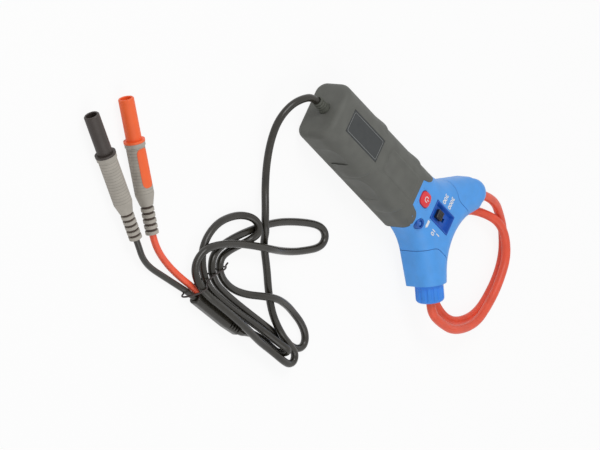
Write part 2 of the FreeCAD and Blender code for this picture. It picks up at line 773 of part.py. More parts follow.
def make_arm(label, head, sign):
    """An arm cut from the head's form, hollow and open at the seam."""
    block = arm_region(label + "_region", sign, "0")
    form = doc.addObject("Part::Common", label + "_form")
    form.Base = head
    form.Tool = block
    doc.recompute()
    body = new_body(label, form)
    doc.recompute()
    low = size("seam_side")
    corner = Vector(size("seam_corner"), 0, 0)

    def opened(face):
        """The flat side along X, the flat side at 135 degrees and the round between them."""
        normal = face.normalAt(*face.Surface.parameter(face.CenterOfMass))
        middle = face.CenterOfMass
        if abs(normal.z) > 0.01:
            return False
        if near(abs(middle.y), low) and near(abs(normal.y), 1):
            return True
        slant = (middle.x - corner.x) + (abs(middle.y) - low)
        if near(slant, 0) and near(abs(normal.x), math.sqrt(0.5)):
            return True
        surface = face.Surface
        return isinstance(surface, Part.Cylinder) and near(surface.Radius, size("seam_radius"))

    hollow(body, "arm_wall", opened)
    return body


def arm_frame(body, sign):
    """Puts a piece drawn along an arm's axis on that arm."""
    return place(body, "arm_root - origin_from_end", "0", "arm_height", sign + "arm_angle")


def add_part(kind, label, **values):
    piece = doc.addObject("Part::" + kind, label)
    for name, value in values.items():
        if isinstance(value, str):
            piece.setExpression(name, bound(value))
        else:
            setattr(piece, name, value)
    return piece


def arm_place(length, sign):
    """A Placement whose Z axis points out along an arm, so far along it."""
    angle = size(sign + "arm_angle")
    way = Vector(math.cos(math.radians(angle)), math.sin(math.radians(angle)), 0)
    start = Vector(size("arm_root - origin_from_end"), 0, size("arm_height")) + way * length
    return Placement(start, Rotation(Z, way))


def coil_start():
    """Where the coil's root is and which way it points there, from the origin."""
    turn = math.radians(size("root_turn"))
    dip = math.radians(size("root_dip"))
    way = Vector(math.cos(turn) * math.cos(dip), math.sin(turn) * math.cos(dip), -math.sin(dip))
    spot = Vector(size("root_x - origin_from_end"), size("root_y"), size("arm_height"))
    return spot, way


def rod(label, radius, start, end, spot, way):
    """A cylinder along a direction, from one distance to another."""
    piece = add_part("Cylinder", label, Radius=radius, Height=str(end - start))
    piece.Placement = Placement(spot + way * start, Rotation(Z, way))
    return piece


def carve(label, base, tools):
    """The base less the tools, as one Part::Cut."""
    tool = tools[0]
    if len(tools) > 1:
        tool = doc.addObject("Part::MultiFuse", label + "_tools")
        tool.Shapes = tools
    piece = doc.addObject("Part::Cut", label + "_carved")
    piece.Base = base
    piece.Tool = tool
    doc.recompute()
    return piece


def make_arms(head):
    spot, way = coil_start()
    upper = along_grip(make_arm("upper_arm_shell", head, ""))
    hole = rod("upper_arm_hole", "spigot_bore", -12, 0, arm_place(size("arm_length") + 1, "").Base,
               arm_place(0, "").Rotation.multVec(Z))
    keep("upper_arm_shell", carve("upper_arm_shell", upper, [hole]))

    cap = turned("coil_root_cap_form", [
        ("cap_start", "0"), ("cap_start", "cap_radius - cap_notch"),
        ("cap_start + cap_notch_length", "cap_radius - cap_notch"),
        ("cap_start + cap_notch_length", "cap_radius"), ("cap_end", "cap_radius"),
        ("cap_end", "0")])
    end = size("cap_end")
    fillet(cap, "cap_dome", lambda edge: lies_at(edge, X, end))
    arm_frame(cap, "")
    bore = rod("coil_root_bore", "coil_radius + coil_gap", 0, 20, spot, way)
    seat = rod("ferrule_seat", "ferrule_radius + ferrule_gap", -9, size("ferrule_end"), spot, way)
    keep("coil_root_cap", carve("coil_root_cap", cap, [bore, seat]))

    ferrule = turned("root_ferrule", [
        ("-ferrule_start", "0"), ("-ferrule_start", "ferrule_radius - 0.4"),
        ("-ferrule_start + 0.4", "ferrule_radius"), ("ferrule_end", "ferrule_radius"),
        ("ferrule_end", "0")])
    ferrule.Placement = Placement(spot, Rotation(X, way))
    keep("root_ferrule", ferrule)

    lower = along_grip(make_arm("lower_arm_shell", head, "-"))
    ring = turned("spigot_ring", [
        ("arm_length - arm_wall / 2", "spigot_bore"),
        ("arm_length - arm_wall / 2", "spigot_radius"), ("spigot_end - 0.5", "spigot_radius"),
        ("spigot_end", "spigot_radius - 0.5"), ("spigot_end", "spigot_bore")])
    arm_frame(ring, "-")
    joined = doc.addObject("Part::Fuse", "lower_arm_joined")
    joined.Base = lower
    joined.Tool = ring
    doc.recompute()
    hole = rod("lower_arm_hole", "3", -12, 1, arm_place(size("arm_length"), "-").Base,
               arm_place(0, "-").Rotation.multVec(Z))
    keep("lower_arm_shell", carve("lower_arm_shell", joined, [hole]))

    plug = turned("coil_plug", [
        ("plug_start", "0"), ("plug_start", "plug_radius - 0.5"),
        ("plug_start + 0.5", "plug_radius"), ("plug_end", "plug_radius"),
        ("plug_end", "coil_radius + plug_gap"), ("plug_face", "coil_radius + plug_gap"),
        ("plug_face", "0")])
    keep("coil_plug", arm_frame(plug, "-"))

    collar = turned("lock_collar", [
        ("collar_start", "collar_bore"), ("collar_start", "collar_radius"),
        ("collar_end", "collar_radius"), ("collar_end", "collar_hole"),
        ("collar_step", "collar_hole"), ("collar_step", "collar_bore")])
    end = size("collar_end")
    hole_radius = size("collar_hole")
    fillet(collar, "collar_round", lambda edge: lies_at(edge, X, end)
           and not near(edge.Curve.Radius, hole_radius))
    sketch = sketch_on(collar, "YZ_Plane", "collar_start + 1.2")
    circle(sketch, "flute_circle", "0", "flute_radius")
    flute = cut(collar, sketch, "collar_end")
    flutes = collar.newObject("PartDesign::PolarPattern", "lock_collar_flutes")
    flutes.Originals = [flute]
    axis = [part for part in collar.Origin.OriginFeatures if part.Role == "X_Axis"][0]
    flutes.Axis = (axis, [""])
    flutes.Angle = 360
    flutes.setExpression("Occurrences", bound("flute_count"))
    collar.Tip = flutes
    doc.recompute()
    keep("lock_collar", arm_frame(collar, "-"))


def make_head_centre(head):
    blocks = [arm_region("upper_region_grown", "", "seam_gap"),
              arm_region("lower_region_grown", "-", "seam_gap")]
    outside = carve("head_centre", head, blocks)
    blocks = [arm_region("upper_region_inside", "", "seam_gap + head_wall"),
              arm_region("lower_region_inside", "-", "seam_gap + head_wall")]
    form = make_head_form("head_inner_form", "head_wall", "tongue_start - 1")
    inside = carve("head_space", form, blocks)
    centre = carve("head_hollow", outside, [inside])

    front = new_body("head_front_shell", centre)
    sketch = sketch_on(front, "XY_Plane", "parting_height")
    rectangle(sketch, "tenon_start - 10", "arm_root + 57", "-60", "60")
    cut(front, sketch, "20", ahead=False)
    sketch = sketch_on(front, "YZ_Plane", "tongue_start - 1")
    rectangle(sketch, "-30", "30", "parting_height - 1", "notch_floor + fit_gap")
    cut(front, sketch, "handle_length + fit_gap - tongue_start + 1")
    sketch = sketch_on(front, "XY_Plane", "notch_floor - 1")
    edge = "handle_length + fit_gap"
    for sign in ("", "-"):
        corners = [("tongue_start - 1", "tongue_half - fit_gap"),
                   ("tongue_start", "tongue_half - fit_gap"),
                   ("shoulder_start + fit_gap", "shoulder_inner - fit_gap"),
                   ("shoulder_start + fit_gap", "shoulder_outer - fit_gap"),
                   (edge, "notch_half - fit_gap"), (edge, "30"), ("tongue_start - 1", "30")]
        polygon(sketch, [(x, sign + "(%s)" % y) for x, y in corners])
    cut(front, sketch, "20")
    sketch = sketch_on(front, "XY_Plane", "notch_floor - 1")
    rectangle(sketch, "tongue_start - 1", "tongue_start + fit_gap", "-30", "30")
    cut(front, sketch, "20")
    strip = "handle_width / 2 - handle_wall - fit_gap"
    inside = strip + " - tenon_wall"
    slope_side = "handle_width / 2 - 7.6"
    slope_top = "handle_depth - 6.1"
    inside_top = "notch_floor - 0.7"
    outer = "handle_width / 2 - head_wall / 2"
    for sign in ("", "-"):
        sketch = sketch_on(front, "YZ_Plane", "tenon_start")
        corners = [(strip, "parting_height"), (strip, "notch_floor - 0.1"),
                   (slope_side + " + 1.1", slope_top + " + 1.1"), (slope_side, slope_top),
                   (inside, inside_top), (inside, "parting_height")]
        polygon(sketch, [(sign + "(%s)" % y, z) for y, z in corners])
        pad(front, sketch, "handle_length + fit_gap + head_wall - tenon_start")
        sketch = sketch_on(front, "YZ_Plane", "handle_length + fit_gap")
        corners = [(outer, "parting_height"), (outer, "notch_floor"),
                   ("handle_width / 2 - 3.6", "handle_depth - 3.6"),
                   ("tongue_half", "handle_depth - 1.1"), ("tongue_half", "handle_depth - 4"),
                   (slope_side, slope_top), (inside, inside_top), (inside, "parting_height")]
        polygon(sketch, [(sign + "(%s)" % y, z) for y, z in corners])
        pad(front, sketch, "head_wall")
    sketch = sketch_on(front, "XY_Plane", "parting_height")
    spots = [("head_screw_place", "head_screw_side"), ("head_screw_place", "-head_screw_side"),
             ("crotch_screw_place", "0")]
    for place_text, side in spots:
        circle(sketch, place_text, side, "boss_radius")
    pad(front, sketch, "boss_step - parting_height")
    sketch = sketch_on(front, "XY_Plane", "boss_step")
    for place_text, side in spots:
        circle(sketch, place_text, side, "boss_radius - 1.2")
    pad(front, sketch, "handle_depth - head_wall + 0.4 - boss_step")
    sketch = sketch_on(front, "XY_Plane", "parting_height - 1")
    for place_text, side in spots:
        circle(sketch, place_text, side, "pilot_radius")
    cut(front, sketch, "screw_length + 1")
    sketch = sketch_on(front, "XY_Plane", "notch_floor + 1")
    hole = "button_size / 2 + button_gap"
    rectangle(sketch, "button_place - (%s)" % hole, "button_place + " + hole, "-(%s)" % hole, hole)
    cut(front, sketch, "20")
    sketch = sketch_on(front, "XY_Plane", "notch_floor + 1")
    rim = "well_slope + bezel_rim + fit_gap"
    rectangle(sketch, "well_start - (%s)" % rim, "well_start + well_length + " + rim,
              "-(well_half + %s)" % rim, "well_half + " + rim)
    cut(front, sketch, "20")
    sketch = sketch_on(front, "XY_Plane", "notch_floor + 1")
    circle(sketch, "lamp_place", "-lamp_side", "lamp_radius + fit_gap")
    cut(front, sketch, "20")
    keep("head_front_shell", along_grip(front))

    rear = new_body("head_rear_shell", centre)
    sketch = sketch_on(rear, "XY_Plane", "parting_height")
    rectangle(sketch, "tenon_start - 10", "arm_root + 57", "-60", "60")
    cut(rear, sketch, "20")
    sketch = sketch_on(rear, "XY_Plane", "0")
    rectangle(sketch, "tenon_start - 10", "handle_length + fit_gap", "-60", "60")
    cut(rear, sketch, "20")
    sketch = sketch_on(rear, "YZ_Plane", "handle_length + fit_gap")
    rectangle(sketch, "-notch_half", "notch_half", "head_back + head_wall / 2",
              "parting_height")
    pad(rear, sketch, "head_wall")
    sketch = sketch_on(rear, "XY_Plane", "head_back + head_wall / 2")
    for place_text, side in spots:
        circle(sketch, place_text, side, "boss_radius + 0.4")
    pad(rear, sketch, "parting_height - head_back - head_wall / 2")
    sketch = sketch_on(rear, "XY_Plane", "head_back + head_wall / 2")
    for place_text in ("first_post", "second_post"):
        circle(sketch, place_text, "post_side", "post_radius")
        circle(sketch, place_text, "-post_side", "post_radius")
    pad(rear, sketch, "board_top - board_thickness - head_back - head_wall / 2")
    sketch = sketch_on(rear, "XY_Plane", "head_back - 1")
    for place_text, side in spots:
        circle(sketch, place_text, side, "screw_radius + screw_slack")
    cut(rear, sketch, "20")
    sketch = sketch_on(rear, "XY_Plane", "head_back - 1")
    for place_text, side in spots:
        circle(sketch, place_text, side, "screw_head_radius + screw_slack")
    cut(rear, sketch, "screw_sink + screw_head_height + 1")
    keep("head_rear_shell", along_grip(rear))


def make_controls():
    board = new_body("circuit_board")
    sketch = sketch_on(board, "XY_Plane", "board_top - board_thickness")
    rectangle(sketch, "board_start", "board_end", "-board_half", "board_half")
    pad(board, sketch, "board_thickness")
    keep("circuit_board", along_grip(board))

    switch = new_body("tact_switch")
    half = "switch_size / 2"
    sketch = sketch_on(switch, "XY_Plane", "board_top")
    rectangle(sketch, "button_place - " + half, "button_place + " + half, "-" + half, half)
    pad(switch, sketch, "switch_height")
    sketch = sketch_on(switch, "XY_Plane", "board_top + switch_height")
    circle(sketch, "button_place", "0", "plunger_radius")
    pad(switch, sketch, "plunger_height")
    keep("tact_switch", along_grip(switch))

    button = new_body("power_button")
    half = "button_size / 2"
    under = "handle_depth - head_wall - button_gap"
    sketch = sketch_on(button, "XY_Plane", under)
    rectangle(sketch, "button_place - " + half, "button_place + " + half, "-" + half, half)
    pad(button, sketch, "handle_depth + button_rise - (%s)" % under)
    fillet(button, "button_corner", lambda edge: runs_along(edge, Z))
    top = size("handle_depth + button_rise")
    fillet(button, "0.6", lambda edge: lies_at(edge, Z, top))
    half = "button_size / 2 + button_skirt"
    sketch = sketch_on(button, "XY_Plane", under)
    rectangle(sketch, "button_place - (%s)" % half, "button_place + " + half, "-(%s)" % half, half)
    pad(button, sketch, "1.7", back=True)
    sketch = sketch_on(button, "XY_Plane", under)
    circle(sketch, "button_place", "0", "1.8")
    reach = "board_top + switch_height + plunger_height + button_travel + button_gap"
    pad(button, sketch, "%s - (%s)" % (under, reach), back=True)
    keep("power_button", along_grip(button))

    slide = new_body("slide_switch_body")
    middle = "slider_start + slider_length / 2 + slider_travel / 2"
    half = "slide_switch_length / 2"
    sketch = sketch_on(slide, "XY_Plane", "board_top")
    rectangle(sketch, middle + " - " + half, middle + " + " + half, "-slide_switch_width / 2",
              "slide_switch_width / 2")
    pad(slide, sketch, "slide_switch_height")
    sketch = sketch_on(slide, "XY_Plane", "board_top + 1.2")
    reach = "slider_travel / 2 + slider_stem_long / 2 + slider_gap"
    rectangle(sketch, "%s - (%s)" % (middle, reach), "%s + %s" % (middle, reach),
              "-slider_stem_wide / 2 - slider_gap", "slider_stem_wide / 2 + slider_gap")
    cut(slide, sketch, "10")
    keep("slide_switch_body", along_grip(slide))

    bezel = new_body("switch_bezel")
    rim = "well_slope + bezel_rim"
    floor = "handle_depth + bezel_rise - well_depth - bezel_floor"
    sketch = sketch_on(bezel, "XY_Plane", floor)
    rectangle(sketch, "well_start - (%s)" % rim, "well_start + well_length + " + rim,
              "-(well_half + %s)" % rim, "well_half + " + rim)
    pad(bezel, sketch, "well_depth + bezel_floor")
    top = size("handle_depth + bezel_rise")
    fillet(bezel, "1.2", lambda edge: runs_along(edge, Z))
    fillet(bezel, "0.25", lambda edge: lies_at(edge, Z, top))
    sketch = sketch_on(bezel, "XY_Plane", "handle_depth + bezel_rise - well_depth")
    rectangle(sketch, "well_start", "well_start + well_length", "-well_half", "well_half")
    well = cut(bezel, sketch, "well_depth")
    well.TaperAngle = math.degrees(math.atan2(size("well_slope"), size("well_depth")))
    doc.recompute()
    sketch = sketch_on(bezel, "XY_Plane", floor + " - 1")
    rectangle(sketch, "%s - (%s)" % (middle, reach), "%s + %s" % (middle, reach),
              "-slider_stem_wide / 2 - slider_gap", "slider_stem_wide / 2 + slider_gap")
    cut(bezel, sketch, "bezel_floor + 2")
    sketch = sketch_on(bezel, "XY_Plane", floor)
    wide = rim + " + 1.2"
    rectangle(sketch, "well_start - (%s)" % wide, "well_start + well_length + " + wide,
              "-(well_half + %s)" % wide, "well_half + " + wide)
    rectangle(sketch, "well_start - (%s) + 1.5" % rim, "well_start + well_length + %s - 1.5" % rim,
              "-(well_half + %s) + 1.5" % rim, "well_half + %s - 1.5" % rim)
    pad(bezel, sketch, "handle_depth - head_wall - fit_gap - (%s)" % floor)
    keep("switch_bezel", along_grip(bezel))

    knob = new_body("range_slider")
    low = "handle_depth + bezel_rise - well_depth + slider_gap"
    sketch = sketch_on(knob, "XY_Plane", low)
    rectangle(sketch, "slider_start", "slider_start + slider_length", "-slider_half",
              "slider_half")
    pad(knob, sketch, "handle_depth + slider_rise - (%s)" % low)
    top = size("handle_depth + slider_rise")
    fillet(knob, "0.4", lambda edge: runs_along(edge, Z) or lies_at(edge, Z, top))
    sketch = sketch_on(knob, "XZ_Plane", "-10")
    for step in range(3):
        start = "slider_start + 1.1 + %g" % (step * 1.1)
        rectangle(sketch, start, start + " + 0.5", "handle_depth + slider_rise - 0.4",
                  "handle_depth + slider_rise + 1")
    cut(knob, sketch, "20")
    sketch = sketch_on(knob, "XY_Plane", low)
    centre = "slider_start + slider_length / 2"
    rectangle(sketch, centre + " - slider_stem_long / 2", centre + " + slider_stem_long / 2",
              "-slider_stem_wide / 2", "slider_stem_wide / 2")
    pad(knob, sketch, "%s - (board_top + 1.2 + slider_gap)" % low, back=True)
    keep("range_slider", along_grip(knob))

    ring = turned("led_bezel", [
        ("0", "lens_radius + fit_gap"), ("0", "lamp_radius"),
        ("4.2", "lamp_radius"), ("4.7", "lamp_radius - 0.5"), ("4.7", "lens_radius + 0.4"),
        ("4.2", "lens_radius + fit_gap")])
    stand_up(ring, "lamp_place", "-lamp_side", "lamp_top - 4.7")
    keep("led_bezel", ring)
    lens = turned("led_lens", [
        ("0", "0"), ("0", "lens_radius"), ("5", "lens_radius"), ("5.6", "lens_radius - 0.5"),
        ("5.9", "0.6"), ("5.9", "0")])
    stand_up(lens, "lamp_place", "-lamp_side", "lamp_top - 6.2")
    keep("led_lens", lens)

    label = new_body("label_plate")
    sketch = sketch_on(label, "XY_Plane", "handle_depth - label_depth")
    rectangle(sketch, "label_start + fit_gap", "label_start + label_length - fit_gap",
              "-label_width / 2 + fit_gap", "label_width / 2 - fit_gap")
    pad(label, sketch, "label_depth")
    fillet(label, "1.2", lambda edge: near(abs(edge.tangentAt(edge.FirstParameter).z), 1))
    keep("label_plate", along_grip(label))


def stand_up(body, x, y, z):
    """Stands a turned body on end, so that its own X axis points up."""
    body.Placement = Placement(Vector(0, 0, 0), Rotation(Vector(0, 1, 0), -90))
    body.setExpression("Placement.Base.x", bound(x + " - origin_from_end"))
    body.setExpression("Placement.Base.y", bound(y))
    body.setExpression("Placement.Base.z", bound(z))


def make_boot():
    inner = "cord_radius + cord_fit"
    corners = [("-boot_length", inner), ("-boot_length", "boot_tip")]
    for start in (-6.8, -5.0, -3.2):
        outer = "boot_tip + (boot_length + (%g)) / boot_length * (boot_neck - boot_tip)"
        corners += [("%g" % start, outer % start),
                    ("%g" % start, outer % start + " - boot_groove"),
                    ("%g" % (start + 0.7), outer % (start + 0.7) + " - boot_groove"),
                    ("%g" % (start + 0.7), outer % (start + 0.7))]
    corners += [("0", "boot_neck"), ("handle_wall + 0.05", "boot_neck"),
                ("handle_wall + 0.05", "boot_flange"),
                ("handle_wall + 0.05 + boot_flange_thickness", "boot_flange"),
                ("handle_wall + 0.05 + boot_flange_thickness", "0"), ("-cord_seat", "0"),
                ("-cord_seat", inner)]
    boot = turned("cord_boot", corners)
    keep("cord_boot", place(boot, "-origin_from_end", "0", "cord_height"))


def make_splitter():
    """The moulded join of the cord and its two leads; its own X axis runs towards the cord."""
    body = new_body("cord_splitter_form")
    sketch = sketch_on(body, "XY_Plane")
    neck = "splitter_length - splitter_neck"
    polygon(sketch, [
        ("0", "-splitter_wide_half"), (neck, "-splitter_wide_half + 0.8"),
        ("splitter_length", "-splitter_narrow_half"), ("splitter_length", "splitter_narrow_half"),
        (neck, "splitter_wide_half - 0.8"), ("0", "splitter_wide_half")])
    pad(body, sketch, "splitter_depth", middle=True)
    half = size("splitter_depth / 2")
    length = size("splitter_length")

    def is_side(edge):
        point = middle_of(edge)
        return near(abs(point.z), half) and 0.1 < point.x < length - 0.1

    fillet(body, "splitter_edge", is_side)
    fillet(body, "1", lambda edge: lies_at(edge, X, 0))
    sketch = sketch_on(body, "XZ_Plane", "-10")
    for step in range(4):
        start = "splitter_length - 9 + %g" % (step * 2.2)
        rectangle(sketch, start, start + " + 1", "splitter_depth / 2 - 0.7",
                  "splitter_depth / 2 + 1")
        rectangle(sketch, start, start + " + 1", "-splitter_depth / 2 - 1",
                  "-splitter_depth / 2 + 0.7")
    cut(body, sketch, "20")
    sketch = sketch_on(body, "YZ_Plane", "-1")
    circle(sketch, "lead_side", "0", "red_radius + cord_fit")
    cut(body, sketch, "splitter_hole + 1")
    sketch = sketch_on(body, "YZ_Plane", "-1")
    circle(sketch, "-lead_side", "0", "black_radius + cord_fit")
    cut(body, sketch, "splitter_hole + 1")
    sketch = sketch_on(body, "YZ_Plane", "splitter_length + 1")
    circle(sketch, "0", "0", "cord_radius + cord_fit")
    cut(body, sketch, "splitter_hole + 1", ahead=False)
    keep("cord_splitter", place(body, "splitter_x", "splitter_y", "splitter_height",
                                "splitter_turn"))


def make_plug(colour, lead_radius):
    """A shrouded test plug; its own X axis runs from the tail, where the lead enters, to the tip."""
    tail = [("0", lead_radius + " + cord_fit")]
    for step in range(5):
        start = step * 3.2
        tail += [("%g" % start, "plug_tail_radius"), ("%g" % (start + 1.8), "plug_tail_radius"),
                 ("%g" % (start + 1.8), "plug_tail_radius - plug_tail_groove")]
        tail += [("%g" % (start + 3.2), "plug_tail_radius - plug_tail_groove")]
    body = turned(colour + "_plug_grip_form", tail + [
        ("plug_tail_end", "plug_tail_radius"), ("plug_body_start", "plug_body_radius"),
        ("plug_body_end", "plug_body_radius"), ("plug_body_end", "plug_flange_radius - 0.3"),
        ("plug_body_end + 0.3", "plug_flange_radius"),
        ("plug_flange_end - 0.3", "plug_flange_radius"),
        ("plug_flange_end", "plug_flange_radius - 0.3"),
        ("plug_flange_end", "shroud_radius + shroud_gap"),
        ("plug_flange_end - shroud_seat", "shroud_radius + shroud_gap"),
        ("plug_flange_end - shroud_seat", "pin_radius + cord_fit"),
        ("pin_start", "pin_radius + cord_fit"), ("pin_start", "0"), ("lead_seat", "0"),
        ("lead_seat", lead_radius + " + cord_fit")])
    spot = (colour + "_tail_x", colour + "_tail_y", "plug_height", colour + "_turn")
    if colour == "red":
        sketch = oval(sketch_on(body, "XY_Plane", "window_floor"), "0")
        cut(body, sketch, "5")
        window = new_body("red_plug_window")
        pad(window, oval(sketch_on(window, "XY_Plane", "window_floor"), "fit_gap"), "0.6")
        keep("red_plug_window", place(window, *spot))
    keep(colour + "_plug_grip", place(body, *spot))
    shroud = turned(colour + "_plug_shroud", [
        ("plug_flange_end - shroud_seat", "shroud_bore"),
        ("plug_flange_end - shroud_seat", "shroud_radius"),
        ("plug_tip - 0.5", "shroud_radius"), ("plug_tip", "shroud_radius - 0.4"),
        ("plug_tip", "shroud_bore + 0.3"), ("plug_tip - 0.3", "shroud_bore")])
    keep(colour + "_plug_shroud", place(shroud, *spot))
    pin = turned(colour + "_plug_pin", [
        ("pin_start", "0"), ("pin_start", "pin_radius"), ("pin_end - 2", "pin_radius"),
        ("pin_end - 0.5", "pin_radius - 0.7"), ("pin_end", "pin_radius - 1.3"), ("pin_end", "0")])
    for role in ("XY_Plane", "XZ_Plane"):
        sketch = sketch_on(pin, role)
        rectangle(sketch, "pin_end - 14", "pin_end - 4", "-pin_slot / 2", "pin_slot / 2")
        cut(pin, sketch, "10", middle=True)
    keep(colour + "_plug_pin", place(pin, *spot))


def oval(sketch, gap):
    """The outline of the coloured window in the plug's side, smaller by a gap all round."""
    half = "window_width / 2 - (%s)" % gap
    start = "window_start + (%s)" % gap
    end = "window_start + window_length - (%s)" % gap
    return polygon(sketch, [
        (start, "-(%s) / 2" % half), (start + " + 1.2", "-(%s)" % half),
        (end + " - 1.2", "-(%s)" % half), (end, "-(%s) / 2" % half), (end, "(%s) / 2" % half),
        (end + " - 1.2", half), (start + " + 1.2", half), (start, "(%s) / 2" % half)])


def arc_edge(start, corner, end):
    """The arc from start to end that is tangent to both legs of the corner."""
    halfway = (start + end) * 0.5
    weight = (end - start).Length / 2 / (corner - start).Length
    if weight > 0.99999:
        return Part.LineSegment(start, end).toShape()
    return Part.Arc(start, (halfway + corner * weight) * (1 / (1 + weight)), end).toShape()


def cord_edges(points):
    """Straight runs between the route's points with a tangent arc at each, and the least radius."""
    points = [Vector(*point) for point in points]
    edges = []
    least = 1000.0
    spot = points[0]
    for i in range(1, len(points) - 1):
        back = points[i - 1] - points[i]
        on = points[i + 1] - points[i]
        reach = 0.45 * min(back.Length, on.Length)
        start = points[i] + back * (reach / back.Length)
        end = points[i] + on * (reach / on.Length)
        turn = math.pi - back.getAngle(on)
        least = min(least, reach / math.tan(turn / 2))
        edges.append(Part.LineSegment(spot, start).toShape())
        edges.append(arc_edge(start, points[i], end))
        spot = end
    edges.append(Part.LineSegment(spot, points[-1]).toShape())
    return edges, least


def tangents(points, first, last):
    """The curve's direction at each point, from the two legs that meet there."""
    ways = [first]
    for i in range(1, len(points) - 1):
        back = points[i] - points[i - 1]
        on = points[i + 1] - points[i]
        way = back * (on.Length / back.Length) + on * (back.Length / on.Length)
        ways.append(way.normalize())
    return ways + [last]


def two_arcs(start, start_way, end, end_way):
    """Two tangent arcs between two points with given directions."""
    span = end - start
    square = 2 * (start_way.dot(end_way) - 1)
    plain = -2 * span.dot(start_way + end_way)
    rest = span.dot(span)
    if abs(square) < 1e-9:
        reach = -rest / plain
    else:
        root = math.sqrt(plain * plain - 4 * square * rest)
        reach = min(value for value in ((-plain - root) / (2 * square),
                                        (-plain + root) / (2 * square)) if value > 0)
    first_corner = start + start_way * reach
    last_corner = end - end_way * reach
    joint = (first_corner + last_corner) * 0.5
    return [arc_edge(start, first_corner, joint), arc_edge(joint, last_corner, end)]


def coil_edges():
    spot, way = coil_start()
    start = spot + way * size("ferrule_end")
    start_run = spot + way * (size("ferrule_end") + 5.5)
    out = arm_place(0, "-").Rotation.multVec(Z)
    end = arm_place(size("plug_face"), "-").Base
    end_run = end + out * 5.2
    points = [start_run]
    for angle, distance, height in COIL_STATIONS:
        turn = math.radians(angle)
        points.append(Vector(size("coil_middle_x - origin_from_end") + distance * math.cos(turn),
                             size("coil_middle_y") + distance * math.sin(turn), height))
    points.append(end_run)
    ways = tangents(points, way, out * -1)
    edges = [Part.LineSegment(start, start_run).toShape()]
    for i in range(len(points) - 1):
        edges += two_arcs(points[i], ways[i], points[i + 1], ways[i + 1])
    edges.append(Part.LineSegment(end_run, end).toShape())
    return edges


def sweep(node, edges, radius):
    """A round cord along joined edges, checked against its length times its section."""
    path = Part.Wire(edges)
    start = edges[0].Vertexes[0].Point
    way = edges[0].Vertexes[-1].Point - start
    section = Part.Wire(Part.Circle(start, way, radius).toShape())
    piece = doc.addObject("Part::Feature", node)
    piece.Shape = path.makePipeShell([section], True, False)
    expected = path.Length * math.pi * radius * radius
    share = piece.Shape.Volume / expected
    print("%s: length %.1f mm, volume over section times length %.4f" % (node, path.Length, share))
    if abs(share - 1) > 0.01:
        raise ValueError(node + " isn't an even cord")
    return keep(node, piece), path


def least_gap(path, thickness):
    """The least gap between two places of a cord that are not neighbours along it."""
    step = 1.5
    points = path.discretize(Distance=step)
    skip = int(4 * thickness / step) + 1
    least = 1000.0
    for i in range(len(points)):
        for k in range(i + skip, len(points)):
            least = min(least, (points[i] - points[k]).Length)
    return least - thickness


def make_cords():
    coil, path = sweep("sensing_coil", coil_edges(), size("coil_radius"))
    gap = least_gap(path, size("2 * coil_radius"))
    print("sensing_coil: least gap between its turns %.2f mm" % gap)
    if gap < 0.4:
        raise ValueError("the coil's turns come too close")
    for node, route, radius in (("output_cord", OUTPUT_CORD, "cord_radius"),
                                ("black_lead", BLACK_LEAD, "black_radius"),
                                ("red_lead", RED_LEAD, "red_radius"),
                                ("wire_tie", WIRE_TIE, "tie_radius")):
        edges, least = cord_edges(route)
        print("%s: least radius %.1f mm" % (node, least))
        sweep(node, edges, size(radius))


def check_and_write():
    doc.recompute()
    for thing in doc.Objects:
        if "Invalid" in thing.State or "Error" in thing.State:
            raise ValueError("%s is in state %s" % (thing.Label, thing.State))
    os.makedirs("parts", exist_ok=True)
    for node, piece in PIECES:
        shape = piece.Shape
        if shape.isNull() or not shape.isValid():
            raise ValueError(node + " has no valid shape")
        if len(shape.Solids) != 1:
            raise ValueError("%s has %d solids" % (node, len(shape.Solids)))
        shape.exportStep("parts/%s.step" % node)
        print("%-24s volume %9.1f" % (node, shape.Volume))
    print("%d pieces" % len(PIECES))


fill_sheet()
make_front_grip()
make_rear_grip()
make_battery_door()
make_screws()
make_cells()
head_form = make_head_form("head_form", "0", "tongue_start")
make_arms(head_form)
make_head_centre(head_form)
make_controls()
make_boot()
make_splitter()
make_plug("black", "black_radius")
make_plug("red", "red_radius")
make_cords()
check_and_write()
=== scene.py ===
import json
import math

import bmesh
import bpy
from mathutils import Matrix, Vector
from mathutils.bvhtree import BVHTree


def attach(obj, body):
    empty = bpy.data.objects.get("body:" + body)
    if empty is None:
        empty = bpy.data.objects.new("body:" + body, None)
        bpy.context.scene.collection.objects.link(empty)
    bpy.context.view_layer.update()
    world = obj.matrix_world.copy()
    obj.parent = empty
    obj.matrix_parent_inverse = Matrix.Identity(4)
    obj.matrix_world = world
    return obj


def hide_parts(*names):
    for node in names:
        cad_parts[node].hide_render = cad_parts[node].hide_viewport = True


# A flexible-coil current probe on a pale floor, in the part's own frame: X along the grip towards
# the coil, Z up from the floor, origin on the flat back of the grip. Routes and places are in
# metres, and the outlines of new pieces are in millimetres.

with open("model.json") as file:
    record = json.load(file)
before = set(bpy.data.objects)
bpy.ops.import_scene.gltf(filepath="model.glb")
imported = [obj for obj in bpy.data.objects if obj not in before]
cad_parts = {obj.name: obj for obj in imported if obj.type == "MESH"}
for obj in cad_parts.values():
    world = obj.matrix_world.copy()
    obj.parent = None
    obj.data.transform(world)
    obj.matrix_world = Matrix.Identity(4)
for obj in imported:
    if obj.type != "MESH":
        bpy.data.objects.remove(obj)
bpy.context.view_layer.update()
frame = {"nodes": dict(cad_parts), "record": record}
nodes = frame["nodes"]

MM = 0.001

# Sizes that several new pieces share, in millimetres. The grip's section has flat sides and a
# round between each side and its upper face.
GRIP_SIDE = 17.5
GRIP_ROUND_Y, GRIP_ROUND_Z, GRIP_ROUND_RADIUS = 8, 15.5, 9.5
